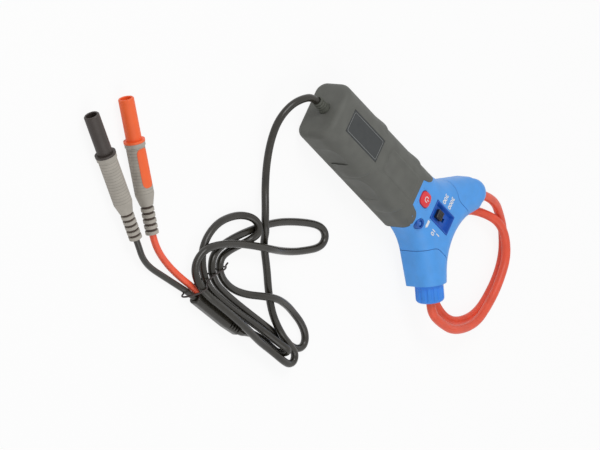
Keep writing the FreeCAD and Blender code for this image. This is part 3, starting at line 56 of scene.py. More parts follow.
# The height of the plugs' axes, then each plug's tail end and its direction in degrees.
PLUG_HEIGHT = 5.6
BLACK_PLUG = ((-153.9, -134.8), 154.3)
RED_PLUG = ((-144.1, -125.7), 142.8)
# A printed mark's thickness on each side of its middle, its lift and how much bolder it is drawn.
PRINT_DEPTH = 0.02
PRINT_LIFT = 0.03
PRINT_BOLDNESS = 0.12

# What all finishes share: the sizes of their clouds and of their uneven shine, how strongly specks
# and worn edges show, and how far an edge is rounded in the light that falls on it.
CLOUD_SIZE = 6 * MM
SHINE_SIZE = 3 * MM
SHINE_SPREAD = 0.06
SPECK_SHARE = 0.35
WORN_SHARE = 0.55
BUMP_STRENGTH = 0.6
EDGE_ROUNDING = 0.25 * MM
SHARP_ANGLE = math.radians(38)

# The camera: the photograph looks down from beyond the cord's end of the grip, rolled so that the
# grip runs down to the right.
AIM = Vector((-0.0491, -0.0602, 0.011))
TO_VIEWER = Vector((-0.674, -0.374, 0.637))
PICTURE_RIGHT = Vector((0.512, 0.384, 0.768))
DISTANCE = 4.0
LENS = 445.0

# The routes of the cord, the leads and the tie repeat the points of the part's own source.
OUTPUT_CORD = [
    (-0.075, 0, 0.0135), (-0.0835, 0, 0.0135), (-0.0905, -0.0055, 0.013),
    (-0.0955, -0.0135, 0.0115), (-0.0965, -0.024, 0.009), (-0.092, -0.034, 0.006),
    (-0.085, -0.044, 0.0035), (-0.078, -0.0545, 0.003), (-0.0735, -0.066, 0.006),
    (-0.07, -0.073, 0.007), (-0.0665, -0.0756, 0.0064), (-0.0615, -0.0786, 0.0032),
    (-0.0575, -0.0813, 0.0021), (-0.049, -0.089, 0.0021), (-0.0425, -0.096, 0.0021),
    (-0.036, -0.102, 0.0021), (-0.0305, -0.1075, 0.0035), (-0.026, -0.112, 0.0064),
    (-0.02, -0.114, 0.007), (-0.0135, -0.1143, 0.0066), (-0.008, -0.1144, 0.006),
    (-0.0045, -0.1162, 0.0058), (-0.0036, -0.1198, 0.0058), (-0.0064, -0.1228, 0.006),
    (-0.011, -0.124, 0.0066), (-0.017, -0.1246, 0.0068), (-0.024, -0.125, 0.0066),
    (-0.0345, -0.1263, 0.0068), (-0.0475, -0.1275, 0.009), (-0.062, -0.1284, 0.0098),
    (-0.075, -0.1294, 0.01), (-0.088, -0.1306, 0.0099), (-0.094, -0.1303, 0.009),
    (-0.099, -0.128, 0.0074), (-0.103, -0.1235, 0.0056), (-0.1045, -0.117, 0.0052),
    (-0.103, -0.1095, 0.0066), (-0.0965, -0.103, 0.0068), (-0.087, -0.096, 0.0068),
    (-0.077, -0.0905, 0.0068), (-0.067, -0.0855, 0.0068), (-0.057, -0.081, 0.0068),
    (-0.046, -0.0755, 0.0036), (-0.035, -0.0692, 0.0021), (-0.026, -0.0625, 0.0021),
    (-0.02, -0.0575, 0.0021), (-0.0169, -0.0528, 0.0021), (-0.0176, -0.048, 0.0021),
    (-0.0223, -0.046, 0.0021), (-0.03, -0.048, 0.0021), (-0.044, -0.0555, 0.0021),
    (-0.056, -0.0633, 0.0021), (-0.066, -0.072, 0.0021), (-0.0737, -0.0799, 0.0021),
    (-0.0815, -0.0887, 0.0021), (-0.0888, -0.0988, 0.0022), (-0.0923, -0.1073, 0.0028),
    (-0.0895, -0.115, 0.0036), (-0.0815, -0.1185, 0.003), (-0.0695, -0.118, 0.0021),
    (-0.0566, -0.117, 0.0021), (-0.044, -0.1157, 0.0021), (-0.031, -0.1143, 0.0021),
    (-0.019, -0.113, 0.0021), (-0.0085, -0.112, 0.0021), (-0.002, -0.1108, 0.0021),
    (0.002, -0.1073, 0.0021), (0.002, -0.103, 0.0021), (-0.0015, -0.0993, 0.0021),
    (-0.008, -0.097, 0.0021), (-0.015, -0.0962, 0.0021), (-0.025, -0.0969, 0.0042),
    (-0.037, -0.0998, 0.0068), (-0.0475, -0.105, 0.0064), (-0.056, -0.1095, 0.003),
    (-0.0665, -0.113, 0.0021), (-0.077, -0.1136, 0.0028), (-0.084, -0.1108, 0.0032),
    (-0.0858, -0.1045, 0.0026), (-0.0815, -0.0972, 0.0021), (-0.0757, -0.0902, 0.0021),
    (-0.0718, -0.0846, 0.0034), (-0.0708, -0.0798, 0.0064), (-0.0736, -0.076, 0.0068),
    (-0.0785, -0.0746, 0.0052), (-0.0845, -0.0768, 0.0026), (-0.0915, -0.0823, 0.0021),
    (-0.0982, -0.0902, 0.0021), (-0.1015, -0.0997, 0.0021), (-0.101, -0.108, 0.0021),
    (-0.0975, -0.115, 0.0026), (-0.0915, -0.121, 0.0032), (-0.083, -0.1238, 0.0036),
    (-0.072, -0.1238, 0.0044), (-0.0596, -0.1225, 0.0048), (-0.047, -0.1205, 0.0048),
    (-0.036, -0.1192, 0.005), (-0.027, -0.119, 0.0068), (-0.02, -0.1192, 0.009),
    (-0.0154, -0.1187, 0.0095), (-0.0132, -0.1193, 0.0073), (-0.0132, -0.1201, 0.0043),
    (-0.0154, -0.1207, 0.0021), (-0.021, -0.121, 0.0021), (-0.028, -0.1213, 0.0021),
    (-0.038, -0.1232, 0.0021), (-0.0445, -0.1262, 0.0024), (-0.0495, -0.12913, 0.0036),
    (-0.0574, -0.12964, 0.0036),
]

BLACK_LEAD = [
    (-0.1575, -0.1331, 0.0056), (-0.1495, -0.1369, 0.0056), (-0.141, -0.1394, 0.0036),
    (-0.131, -0.1393, 0.0019), (-0.119, -0.1372, 0.00175), (-0.107, -0.1352, 0.0019),
    (-0.098, -0.13425, 0.0036), (-0.0874, -0.13355, 0.0036),
]

RED_LEAD = [
    (-0.1472, -0.12335, 0.0056), (-0.1417, -0.1275, 0.0056), (-0.1315, -0.1298, 0.0034),
    (-0.1195, -0.1306, 0.002), (-0.1075, -0.1305, 0.002), (-0.0985, -0.13035, 0.0036),
    (-0.0876, -0.12965, 0.0036),
]

WIRE_TIE = [
    (-0.0776, -0.1055, 0.0009), (-0.0813, -0.1076, 0.0006), (-0.0845, -0.1113, 0.00052),
    (-0.09, -0.12, 0.00052), (-0.0966, -0.1322, 0.00052), (-0.0992, -0.1369, 0.0008),
    (-0.1002, -0.1386, 0.0032), (-0.099, -0.1366, 0.0074), (-0.097, -0.133, 0.0112),
    (-0.095, -0.129, 0.0122), (-0.093, -0.1253, 0.0082), (-0.0906, -0.1208, 0.0063),
    (-0.0868, -0.1142, 0.0064), (-0.083, -0.11, 0.0064), (-0.0809, -0.1074, 0.0044),
    (-0.0802, -0.1062, 0.0028), (-0.079, -0.1038, 0.0024),
]

# The coil's points differ from the source's: moved, because the spline cuts inside them.
SENSING_COIL = [
    (0.0643, 0.0332, 0.0146), (0.0692, 0.0355, 0.0137), (0.0876, 0.042, 0.0098),
    (0.102, 0.0411, 0.0048), (0.1113, 0.0371, 0.0031), (0.1207, 0.0258, 0.0027),
    (0.1236, 0.0086, 0.0027), (0.1198, -0.0157, 0.0027), (0.0992, -0.0321, 0.0027),
    (0.0718, -0.0232, 0.0027), (0.0618, 0.0065, 0.0027), (0.0745, 0.0274, 0.0027),
    (0.0876, 0.0342, 0.0042), (0.1025, 0.0363, 0.0085), (0.117, 0.0258, 0.0083),
    (0.1199, 0.0089, 0.0087), (0.119, -0.0057, 0.0092), (0.1139, -0.0229, 0.0107),
    (0.0972, -0.0377, 0.0132), (0.0818, -0.0412, 0.0146), (0.0722, -0.0412, 0.0151),
    (0.0656, -0.0351, 0.0152), (0.0625, -0.0321, 0.0152),
]


def linear(colour):
    """Red, green and blue from 0 to 255, as a screen shows them, to the shader's values."""
    steps = [part / 255 for part in colour]
    return [s / 12.92 if s <= 0.04045 else ((s + 0.055) / 1.055) ** 2.4 for s in steps] + [1]


def add(tree, kind, **values):
    """A new shader node with those attributes."""
    node = tree.nodes.new("ShaderNode" + kind)
    for name, value in values.items():
        setattr(node, name, value)
    return node


def noise(tree, source, size, detail=3.0):
    """A noise whose features are about that many metres across."""
    node = add(tree, "TexNoise")
    node.inputs["Scale"].default_value = 1 / size
    node.inputs["Detail"].default_value = detail
    tree.links.new(source, node.inputs["Vector"])
    return node.outputs["Fac"]


def blend_colours(tree, factor, first, second):
    """A mix of two colours, each a value or another node's output."""
    node = add(tree, "Mix", data_type="RGBA")
    tree.links.new(factor, node.inputs["Factor"])
    for socket, value in ((node.inputs["A"], first), (node.inputs["B"], second)):
        if isinstance(value, (list, tuple)):
            socket.default_value = value
        else:
            tree.links.new(value, socket)
    return node.outputs["Result"]


def ramp(tree, source, low, high, start, end):
    """Maps low to high on to start to end, and holds the ends beyond them."""
    node = add(tree, "MapRange")
    for name, value in (("From Min", low), ("From Max", high), ("To Min", start), ("To Max", end)):
        node.inputs[name].default_value = value
    tree.links.new(source, node.inputs["Value"])
    return node.outputs["Result"]


def material(name, colour, roughness, grain=0.35 * MM, grain_depth=0.02 * MM, mottle=0.08,
             worn=None, metallic=0.0):
    """Moulded plastic, rubber or metal: mottled colour, a fine grain, and paler worn edges."""
    made = bpy.data.materials.new(name)
    made.use_nodes = True
    tree = made.node_tree
    shader = tree.nodes["Principled BSDF"]
    place = add(tree, "TexCoord").outputs["Object"]
    base = linear(colour)
    darker = [part * (1 - mottle) for part in base[:3]] + [1]
    paler = [min(part * (1 + mottle), 1) for part in base[:3]] + [1]
    cloud = ramp(tree, noise(tree, place, CLOUD_SIZE), 0.35, 0.65, 0, 1)
    tint = blend_colours(tree, cloud, darker, paler)
    speck = ramp(tree, noise(tree, place, grain * 1.7, 2.0), 0.3, 0.7, 0, SPECK_SHARE)
    tint = blend_colours(tree, speck, tint, darker)
    edge = add(tree, "Bevel", samples=4)
    edge.inputs["Radius"].default_value = EDGE_ROUNDING
    if worn:
        plain = add(tree, "NewGeometry").outputs["Normal"]
        turn = add(tree, "VectorMath", operation="DOT_PRODUCT")
        tree.links.new(edge.outputs["Normal"], turn.inputs[0])
        tree.links.new(plain, turn.inputs[1])
        rubbed = ramp(tree, turn.outputs["Value"], 0.98, 0.8, 0, WORN_SHARE)
        tint = blend_colours(tree, rubbed, tint, linear(worn))
    tree.links.new(tint, shader.inputs["Base Color"])
    uneven = ramp(tree, noise(tree, place, SHINE_SIZE), 0.3, 0.7,
                  roughness - SHINE_SPREAD, roughness + SHINE_SPREAD)
    tree.links.new(uneven, shader.inputs["Roughness"])
    bump = add(tree, "Bump")
    bump.inputs["Strength"].default_value = BUMP_STRENGTH
    bump.inputs["Distance"].default_value = grain_depth
    tree.links.new(noise(tree, place, grain, 2.0), bump.inputs["Height"])
    tree.links.new(edge.outputs["Normal"], bump.inputs["Normal"])
    tree.links.new(bump.outputs["Normal"], shader.inputs["Normal"])
    shader.inputs["Metallic"].default_value = metallic
    return made


# Each finish: its colour as a screen shows it, its roughness, the size and depth of its grain, how
# mottled it is and, where they show, the colour of its worn edges.
FINISHES = {
    "grip_grey": material("grip_grey", (94, 95, 90), 0.62, 0.3 * MM, 0.03 * MM, 0.1,
                          worn=(126, 127, 121)),
    "boot_grey": material("boot_grey", (86, 88, 80), 0.6, 0.3 * MM, 0.02 * MM, 0.12),
    "head_blue": material("head_blue", (80, 162, 242), 0.44, 0.3 * MM, 0.015 * MM, 0.05,
                          worn=(138, 188, 240)),
    "lock_blue": material("lock_blue", (54, 140, 238), 0.46, 0.3 * MM, 0.015 * MM, 0.06,
                          worn=(96, 150, 232)),
    "coil_red": material("coil_red", (238, 88, 58), 0.42, 0.5 * MM, 0.012 * MM, 0.07),
    "button_red": material("button_red", (236, 52, 62), 0.42, 0.3 * MM, 0.01 * MM, 0.05),
    "bezel_blue": material("bezel_blue", (0, 84, 186), 0.5, 0.3 * MM, 0.01 * MM, 0.06),
    "slider_black": material("slider_black", (26, 28, 36), 0.42, 0.3 * MM, 0.01 * MM, 0.1),
    "switch_body": material("switch_body", (28, 28, 30), 0.5),
    "lamp_ring": material("lamp_ring", (30, 92, 184), 0.42, 0.3 * MM, 0.008 * MM, 0.06),
    "lamp_lens": material("lamp_lens", (44, 116, 206), 0.15, 0.3 * MM, 0.002 * MM, 0.3),
    "label_grey": material("label_grey", (50, 53, 54), 0.56, 0.2 * MM, 0.004 * MM, 0.05),
    "cord_black": material("cord_black", (40, 37, 30), 0.26, 0.5 * MM, 0.012 * MM, 0.2),
    "lead_red": material("lead_red", (255, 96, 62), 0.42, 0.5 * MM, 0.01 * MM, 0.06),
    "plug_grey": material("plug_grey", (174, 168, 158), 0.6, 0.35 * MM, 0.025 * MM, 0.07,
                          worn=(184, 181, 176)),
    "shroud_black": material("shroud_black", (56, 48, 44), 0.5, 0.35 * MM, 0.015 * MM, 0.1,
                             worn=(92, 82, 76)),
    "shroud_orange": material("shroud_orange", (255, 106, 50), 0.46, 0.35 * MM, 0.012 * MM, 0.05),
    "pin_metal": material("pin_metal", (206, 202, 192), 0.24, 0.2 * MM, 0.003 * MM, 0.04,
                          metallic=1.0),
    "steel": material("steel", (170, 170, 172), 0.34, 0.2 * MM, 0.004 * MM, 0.06, metallic=1.0),
    "cell_wrap": material("cell_wrap", (64, 68, 76), 0.34),
    "board_green": material("board_green", (40, 118, 78), 0.36),
    "tie_black": material("tie_black", (44, 34, 32), 0.45, 0.3 * MM, 0.01 * MM, 0.12),
    "print_white": material("print_white", (240, 241, 243), 0.5, 0.2 * MM, 0.002 * MM, 0.02),
    "print_grey": material("print_grey", (138, 141, 140), 0.5, 0.2 * MM, 0.002 * MM, 0.03),
    # Painted shade: a dark brown for the shade down in the plugs' tail grooves.
    "groove_shade_brown": material("groove_shade_brown", (70, 56, 48), 0.7, 0.3 * MM, 0.01 * MM, 0.1),
    # Painted shade: a darker grey for the shade lines of the fine rings on the plugs' bodies.
    "ring_shade_grey": material("ring_shade_grey", (134, 128, 119), 0.66, 0.3 * MM, 0.01 * MM, 0.08),
}


def add_object(name, data):
    """A new object in the scene."""
    made = bpy.data.objects.new(name, data)
    bpy.context.scene.collection.objects.link(made)
    return made


def finish(piece, name):
    """Gives a piece one finish."""
    piece.data.materials.clear()
    piece.data.materials.append(FINISHES[name])
    return piece


def face_outwards(data):
    """Joins the points that coincide and turns every face of a closed mesh outwards."""
    work = bmesh.new()
    work.from_mesh(data)
    bmesh.ops.remove_doubles(work, verts=work.verts, dist=1e-7)
    bmesh.ops.recalc_face_normals(work, faces=work.faces)
    work.to_mesh(data)
    work.free()


def mesh_piece(name, points, faces, finish_name, body="housing"):
    """A new closed piece from points in millimetres."""
    data = bpy.data.meshes.new(name)
    data.from_pydata([[part * MM for part in point] for point in points], [], faces)
    face_outwards(data)
    data.shade_smooth()
    data.set_sharp_from_angle(angle=SHARP_ANGLE)
    piece = add_object(name, data)
    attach(piece, body)
    return finish(piece, finish_name)


def rounded_outline(half_x, half_y, corner, steps=8):
    """A rectangle with rounded corners as a closed loop."""
    loop = []
    for number, (way_x, way_y) in enumerate(((1, 1), (-1, 1), (-1, -1), (1, -1))):
        for step in range(steps + 1):
            turn = math.radians(90 * number + 90 * step / steps)
            loop.append((way_x * (half_x - corner) + corner * math.cos(turn),
                         way_y * (half_y - corner) + corner * math.sin(turn)))
    return loop


def ring_faces(low, high, count):
    """Faces between two rings of points, from the number of each ring's first point."""
    return [(low + k, low + (k + 1) % count, high + (k + 1) % count, high + k)
            for k in range(count)]


def slab_faces(rows, columns, mirrored=False):
    """Faces of a slab whose points are a grid by rows, and then the same grid on its other side."""
    layer = rows * columns
    faces = []
    for i in range(rows - 1):
        for k in range(columns - 1):
            a = i * columns + k
            quad = (a, a + columns, a + columns + 1, a + 1)
            faces += [quad, tuple(layer + corner for corner in quad[::-1])]
    rim = ([i * columns for i in range(rows)]
           + [(rows - 1) * columns + k for k in range(1, columns)]
           + [i * columns + columns - 1 for i in range(rows - 2, -1, -1)]
           + list(range(columns - 2, 0, -1)))
    faces += [(a, a + layer, b + layer, b) for a, b in zip(rim, rim[1:] + rim[:1])]
    return [face[::-1] for face in faces] if mirrored else faces


def stack(middle, rings, closed=True):
    """Points and faces of rounded outlines, one after another.

    Each has half its size along X and along Y, its corners' radius and its height. The first and
    the last are filled, or joined to each other where it isn't closed.
    """
    points, faces = [], []
    for half_x, half_y, corner, height in rings:
        points += [(middle[0] + x, middle[1] + y, height)
                   for x, y in rounded_outline(half_x, half_y, corner)]
    count = len(points) // len(rings)
    for ring in range(len(rings) - 1 if closed else len(rings)):
        faces += ring_faces(ring * count, (ring + 1) % len(rings) * count, count)
    if closed:
        faces.append(tuple(reversed(range(count))))
        faces.append(tuple(range(len(points) - count, len(points))))
    return points, faces


def make_button():
    """The pillow-shaped button, its frame in the head's face and its symbol."""
    middle = (18.3, 0)
    points, faces = stack(middle, [
        (5.2, 5.2, 1.2, 21.3), (5.2, 5.2, 1.2, 22.8), (4.15, 4.15, 2.9, 22.9),
        (4.15, 4.15, 2.9, 25.3), (4.05, 4.05, 2.85, 25.75), (3.75, 3.75, 2.7, 26.05),
        (3.2, 3.2, 2.4, 26.2), (2.2, 2.2, 1.8, 26.24), (0.8, 0.8, 0.7, 26.22)])
    cap = mesh_piece("button_cap", points, faces, "button_red", "button")
    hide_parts("power_button")
    points, faces = stack(middle, [
        (4.4, 4.4, 3.05, 24.5), (4.4, 4.4, 3.05, 25.0), (4.6, 4.6, 3.2, 25.12),
        (5.0, 5.0, 3.4, 25.14), (5.35, 5.35, 3.6, 25.0), (5.35, 5.35, 3.6, 24.5)], closed=False)
    mesh_piece("button_frame", points, faces, "head_blue")

    # The symbol: an open ring, from so many degrees over so many, and a bar in its gap.
    points, faces = [], []
    heights = (26.18, 26.29)
    steps, start, sweep = 28, 42, 276
    for step in range(steps + 1):
        turn = math.radians(start + sweep * step / steps)
        for radius in (1.18, 1.66):
            for height in heights:
                points.append((middle[0] + radius * math.cos(turn),
                               middle[1] + radius * math.sin(turn), height))
    for step in range(steps):
        a, b = 4 * step, 4 * step + 4
        faces += [(a + 1, a + 3, b + 3, b + 1), (a + 3, a + 2, b + 2, b + 3),
                  (a, a + 1, b + 1, b), (a + 2, a, b, b + 2)]
    faces += [(0, 2, 3, 1), (4 * steps, 4 * steps + 1, 4 * steps + 3, 4 * steps + 2)]
    first = len(points)
    for height in heights:
        points += [(middle[0] + x, y, height)
                   for x, y in ((0.5, -0.23), (2.0, -0.23), (2.0, 0.23), (0.5, 0.23))]
    faces += [tuple(first + k for k in corner) for corner in (
        (3, 2, 1, 0), (4, 5, 6, 7), (0, 1, 5, 4), (1, 2, 6, 5), (2, 3, 7, 6), (3, 0, 4, 7))]
    mesh_piece("button_symbol", points, faces, "print_white", "button")


def make_grip_details():
    """The raised thumb panel, the label's border and the lips that round the grip's joint."""
    panel_middle, label_middle = (-7.5, 0), (-46, 0)
    points, faces = stack(panel_middle, [
        (15.2, 7.3, 2.4, 24.7), (15.2, 7.3, 2.4, 25.02), (14.9, 7.0, 2.3, 25.26),
        (14.3, 6.4, 2.1, 25.34), (13.6, 5.7, 1.9, 25.26), (13.2, 5.3, 1.8, 25.08),
        (6.0, 2.4, 1.0, 25.05)])
    mesh_piece("thumb_panel", points, faces, "grip_grey")
    points, faces = stack(label_middle, [
        (14.7, 5.7, 1.0, 24.9), (14.7, 5.7, 1.0, 25.03), (14.95, 5.95, 1.2, 25.03),
        (14.95, 5.95, 1.2, 24.9)], closed=False)
    mesh_piece("label_border", points, faces, "print_grey")

    # Each lip fills the space from its own rounded border to the edge of the grip's surface.
    curve = [(15.3, 9.3), (16.6, 10.1), (17.9, 11.3), (19.0, 12.9), (19.9, 14.6), (20.6, 16.4)]
    edge = [(14.9, 9.5), (14.9, 12.0), (14.9, 15.0), (17.0, 15.8), (18.8, 16.2), (20.5, 16.7)]
    across = 6
    for name, side in (("grip_lip_left", 1), ("grip_lip_right", -1)):
        points = []
        for lift in (0.12, -0.4):
            for (x0, y0), (x1, y1) in zip(curve, edge):
                for step in range(across + 1):
                    share = step / across
                    x, y = x0 + (x1 - x0) * share, y0 + (y1 - y0) * share
                    height = GRIP_ROUND_Z + math.sqrt(
                        GRIP_ROUND_RADIUS ** 2 - (y - GRIP_ROUND_Y) ** 2)
                    points.append((x, side * y, height + lift))
        mesh_piece(name, points, slab_faces(len(curve), across + 1, mirrored=side > 0),
                   "grip_grey")


def make_ridges():
    """Finger ridges round the grip's sides: each swells along the grip and ends at a crisp edge."""
    # How far along the grip, and how high the ridge is there.
    swell = [(-10.5, 0), (-8, 0.12), (-5.5, 0.34), (-3, 0.62), (-1, 0.82), (0.2, 0.88), (0.9, 0.78),
             (1.4, 0.45), (1.8, 0.12), (2.6, 0)]
    # Points up one side of the grip's section, each with the way out of it.
    profile = [(GRIP_SIDE, height, 1, 0) for height in (7.5, 9.5, 11.5, 13.5)]
    for turn in range(0, 73, 8):
        out_y, out_z = math.cos(math.radians(turn)), math.sin(math.radians(turn))
        profile.append((GRIP_ROUND_Y + GRIP_ROUND_RADIUS * out_y,
                        GRIP_ROUND_Z + GRIP_ROUND_RADIUS * out_z, out_y, out_z))
    last = len(profile) - 1
    rear, front = -32.5, 3.0
    # How deep the inside lies, how far the rim is let in, and how far a ridge bows to the front.
    inner_depth, rim_depth, bow_reach = 0.5, 0.06, 2.4
    for name, station, side in (("finger_ridge_1", rear, 1), ("finger_ridge_2", front, 1),
                                ("finger_ridge_3", rear, -1), ("finger_ridge_4", front, -1)):
        points = []
        for inside in (False, True):
            for along, height in swell:
                for k, (y, z, out_y, out_z) in enumerate(profile):
                    fade = math.sin(math.pi * min(k / 3, 1, (last - k) / 4) / 2)
                    lift = -inner_depth if inside else height * fade - rim_depth
                    bow = bow_reach * (k / last) ** 2
                    points.append((station + along + bow, side * (y + out_y * lift),
                                   z + out_z * lift))
        mesh_piece(name, points, slab_faces(len(swell), len(profile), mirrored=side < 0),
                   "grip_grey")


def make_marks():
    """White range numbers and a cell sign, laid on the head's own surface."""
    head = nodes["head_front_shell"].data
    surface = BVHTree.FromPolygons([spot.co for spot in head.vertices],
                                   [face.vertices for face in head.polygons])
    face_height, above, down = 0.025, Vector((0, 0, 0.02)), Vector((0, 0, -1))

    def lay(piece):
        """Puts each point on the surface under it, or on the nearest one where there is none."""
        for spot in piece.data.vertices:
            over = Vector((spot.co.x, spot.co.y, face_height))
            hit = surface.ray_cast(over + above, down)[0]
            if hit is None:
                hit = surface.find_nearest(over)[0]
            spot.co.z += hit.z + PRINT_LIFT * MM

    for name, words, x, y, height in (
            ("range_mark_low", "300", 33.4, 9.9, 3.9), ("range_mark_high", "3000", 38.9, 10.6, 3.7),
            ("range_mark_ten", "10", 35.0, -10.6, 3.9), ("range_mark_one", "1", 39.4, -9.8, 3.9)):
        data = bpy.data.curves.new(name + "_outline", "FONT")
        data.body = words
        data.size = height * MM
        data.extrude = PRINT_DEPTH * MM
        data.offset = PRINT_BOLDNESS * MM
        data.align_x = "CENTER"
        data.align_y = "CENTER"
        outline = add_object(name + "_outline", data)
        made = outline.evaluated_get(bpy.context.evaluated_depsgraph_get())
        mesh = bpy.data.meshes.new_from_object(made)
        bpy.data.objects.remove(outline)
        mesh.name = name
        for spot in mesh.vertices:
            spot.co = (x * MM + spot.co.y, y * MM - spot.co.x, spot.co.z)
        face_outwards(mesh)
        piece = add_object(name, mesh)
        lay(piece)
        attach(piece, "housing")
        finish(piece, "print_white")
    # The cell sign, in short lengths that follow the curved face: half its width and the place.
    sign_x, sign_y = 28.4, -9.6
    sections = [(0.95, -2.2), (0.95, -1.4), (0.95, -0.6), (0.95, 0.2), (0.95, 0.9), (0.95, 1.6),
                (0.45, 1.6), (0.45, 2.3)]
    points = []
    for half_x, y in sections:
        points += [(sign_x + x, sign_y - y, height) for x, height in (
            (-half_x, -PRINT_DEPTH), (half_x, -PRINT_DEPTH), (half_x, PRINT_DEPTH),
            (-half_x, PRINT_DEPTH))]
    faces = [(0, 1, 2, 3), tuple(range(len(points) - 4, len(points)))]
    for a in range(0, len(points) - 4, 4):
        faces += ring_faces(a, a + 4, 4)
    lay(mesh_piece("cell_mark", points, faces, "print_white"))


def on_plug(plug, along, radius, angle):
    """A point at that distance from a plug's tail and from its axis, and that angle round it."""
    tail, turn = plug[0], math.radians(plug[1])
    side = radius * math.cos(angle)
    return (tail[0] + math.cos(turn) * along - math.sin(turn) * side,
            tail[1] + math.sin(turn) * along + math.cos(turn) * side,
            PLUG_HEIGHT + radius * math.sin(angle))


def bands(name, plug, spans, finish_name, depth=0.12):
    """Narrow rings round a plug: start, end and radius of each along the plug's own axis."""
    points, faces = [], []
    sides = 36
    for start, end, radius in spans:
        first = len(points)
        for along, out in ((start, radius - depth), (start, radius), (end, radius),
                           (end, radius - depth)):
            points += [on_plug(plug, along, out, 2 * math.pi * k / sides) for k in range(sides)]
        for ring in range(4):
            faces += ring_faces(first + ring * sides, first + (ring + 1) % 4 * sides, sides)
    return mesh_piece(name, points, faces, finish_name)


def make_plug_details():
    """Rings of painted shade in the tails' grooves, fine rings of painted shade on the bodies, the
    flanges and the window.
    """
    # Painted shade: the dark rings in the tails' grooves and the fine darker rings on the bodies
    # stand for the shade there.
    grooves = [(3.2 * step + 1.85, 3.2 * step + 3.15, 2.95) for step in range(5)]
    rings = [(23.4 + 1.75 * step, 23.56 + 1.75 * step, 5.17) for step in range(15)]
    flange, flange_depth = [(51.4, 52.7, 5.8)], 1.4
    made = {}
    for colour, plug, shroud in (("black", BLACK_PLUG, "shroud_black"),
                                 ("red", RED_PLUG, "shroud_orange")):
        made[colour] = [
            bands(colour + "_tail_groove_shade", plug, grooves, "groove_shade_brown"),
            bands(colour + "_body_ring_shade", plug, rings, "ring_shade_grey"),
            bands(colour + "_flange_ring", plug, flange, shroud, flange_depth)]

    # The window: places along the plug and the share of its width there, and its middle and half
    # its width in degrees round the plug.
    along = (26.5, 27.0, 28.2, 30.0, 38.0, 44.8, 46.6, 47.8, 48.3)
    shares = (0.45, 0.72, 0.93, 1, 1, 1, 0.93, 0.72, 0.45)
    middle, half_width = 81, 38
    across = 12
    points = []
    for radius in (5.32, 4.5):
        for spot, share in zip(along, shares):
            for step in range(across + 1):
                angle = math.radians(middle + half_width * share * (2 * step / across - 1))
                points.append(on_plug(RED_PLUG, spot, radius, angle))
    window = mesh_piece("red_window_strip", points, slab_faces(len(along), across + 1),
                        "shroud_orange")
    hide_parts("red_plug_window")
    made["red"].append(window)
    return made


def make_camera():
    """The photograph's camera, far off with a long lens."""
    back = TO_VIEWER.normalized()
    right = (PICTURE_RIGHT - back * PICTURE_RIGHT.dot(back)).normalized()
    up = back.cross(right)
    data = bpy.data.cameras.new("camera")
    data.lens = LENS
    data.sensor_width = 36
    data.clip_start = 0.01
    data.clip_end = 20
    camera = add_object("camera", data)
    place = AIM + back * DISTANCE
    turn = Matrix((right, up, back)).transposed().to_4x4()
    camera.matrix_world = Matrix.Translation(place) @ turn
    bpy.context.scene.camera = camera


def cord_curve(name, points, radius, finish_name, steps=8, sides=6):
    """A smooth round cord whose spline has the route's points as its control points."""
    data = bpy.data.curves.new(name, "CURVE")
    data.dimensions = "3D"
    data.resolution_u = steps
    data.bevel_depth = radius
    data.bevel_resolution = sides
    data.use_fill_caps = True
    spline = data.splines.new("NURBS")
    spline.points.add(len(points) - 1)
    for spot, point in zip(spline.points, points):
        spot.co = (*point, 1)
    spline.order_u = 3
    spline.use_endpoint_u = True
    piece = add_object(name, data)
    data.materials.append(FINISHES[finish_name])
    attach(piece, "housing")
    return piece


def make_cords(details):
    """The cord, the leads, the coil and the tie, each in place of its CAD node."""
    cord = cord_curve("output_cord_soft", OUTPUT_CORD, 2.1 * MM, "cord_black")
    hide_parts("output_cord")
    black = cord_curve("black_lead_soft", BLACK_LEAD, 1.75 * MM, "cord_black")
    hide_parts("black_lead")
    red = cord_curve("red_lead_soft", RED_LEAD, 1.9 * MM, "lead_red")
    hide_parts("red_lead")
    coil = cord_curve("sensing_coil_soft", SENSING_COIL, 2.5 * MM, "coil_red", steps=24, sides=8)
    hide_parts("sensing_coil")
    tie = cord_curve("wire_tie_soft", WIRE_TIE, 0.5 * MM, "tie_black")
    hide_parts("wire_tie")


def dress_nodes():
    """Every CAD piece gets its own slot's finish, apart from the boot, which is paler."""
    for part in frame["record"]["subparts"]:
        finish(nodes[part["node"]], part["material_slot"])
    finish(nodes["cord_boot"], "boot_grey")


def seen_rays(tree):
    """1 for a ray from the camera, a reflection or a ray through a piece, and 0 for the others."""
    rays = add(tree, "LightPath")
    seen = add(tree, "Math", operation="ADD")
    tree.links.new(rays.outputs["Is Camera Ray"], seen.inputs[0])
    tree.links.new(rays.outputs["Is Glossy Ray"], seen.inputs[1])
    more = add(tree, "Math", operation="ADD", use_clamp=True)
    tree.links.new(seen.outputs[0], more.inputs[0])
    tree.links.new(rays.outputs["Is Transmission Ray"], more.inputs[1])
    return more.outputs[0]


def mix_out(tree, share, first, second, output_kind):
    """The tree's output: the first shader, and the second one by that share."""
    mixed = add(tree, "MixShader")
    tree.links.new(share, mixed.inputs["Fac"])
    tree.links.new(first.outputs[0], mixed.inputs[1])
    tree.links.new(second.outputs[0], mixed.inputs[2])
    output = add(tree, output_kind)
    tree.links.new(mixed.outputs[0], output.inputs["Surface"])


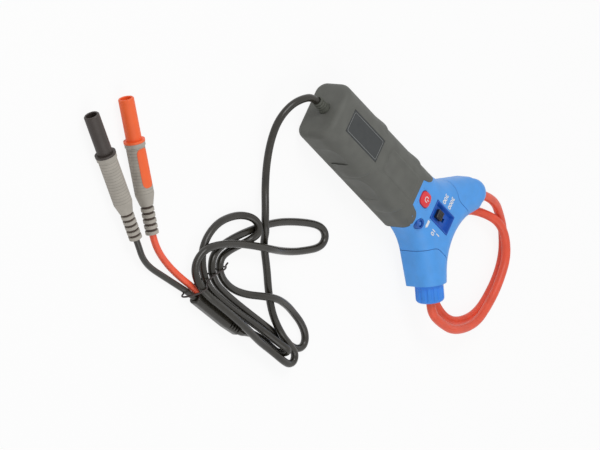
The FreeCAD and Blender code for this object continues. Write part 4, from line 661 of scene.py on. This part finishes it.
def floor_material():
    """Mostly plain white to the eye, so that shadows are faint, and a pale floor to the light."""
    made = bpy.data.materials.new("pale_floor")
    made.use_nodes = True
    tree = made.node_tree
    tree.nodes.clear()
    lit = add(tree, "BsdfDiffuse")
    lit.inputs["Color"].default_value = (0.9, 0.9, 0.9, 1)
    white = add(tree, "Emission")
    white.inputs["Color"].default_value = (1, 1, 1, 1)
    white_share = 0.9
    share = add(tree, "Math", operation="MULTIPLY")
    tree.links.new(seen_rays(tree), share.inputs[0])
    share.inputs[1].default_value = white_share
    mix_out(tree, share.outputs[0], lit, white, "OutputMaterial")
    return made


def background(tree, strength):
    """A white background of that strength."""
    made = add(tree, "Background")
    made.inputs["Color"].default_value = (1, 1, 1, 1)
    made.inputs["Strength"].default_value = strength
    return made


def make_stage():
    """The floor, a soft white light from all round, a white backdrop and two lamps."""
    data = bpy.data.meshes.new("floor")
    reach, gap = 6.0, 0.05 * MM
    data.from_pydata([(-reach, -reach, 0), (reach, -reach, 0), (reach, reach, 0),
                      (-reach, reach, 0)], [], [(0, 1, 2, 3)])
    data.materials.append(floor_material())
    floor = add_object("floor", data)
    floor.location.z = -gap

    world = bpy.data.worlds.new("world")
    world.use_nodes = True
    bpy.context.scene.world = world
    tree = world.node_tree
    tree.nodes.clear()
    light, backdrop = background(tree, 0.5), background(tree, 1.0)
    mix_out(tree, seen_rays(tree), light, backdrop, "OutputWorld")

    for name, place, size, power in (
            ("key_lamp", (-0.9, 0.5, 1.1), 0.7, 7.0),
            ("fill_lamp", (0.3, -1.0, 1.0), 1.0, 4.0)):
        lamp = bpy.data.lights.new(name, "AREA")
        lamp.size = size
        lamp.energy = power
        spot = add_object(name, lamp)
        spot.location = place
        way = AIM - Vector(place)
        spot.rotation_mode = "QUATERNION"
        spot.rotation_quaternion = way.to_track_quat("-Z", "Y")


make_camera()
dress_nodes()
make_button()
make_grip_details()
make_ridges()
make_marks()
make_cords(make_plug_details())
make_stage()
bpy.context.scene.view_settings.view_transform = "Standard"

bpy.context.view_layer.update()
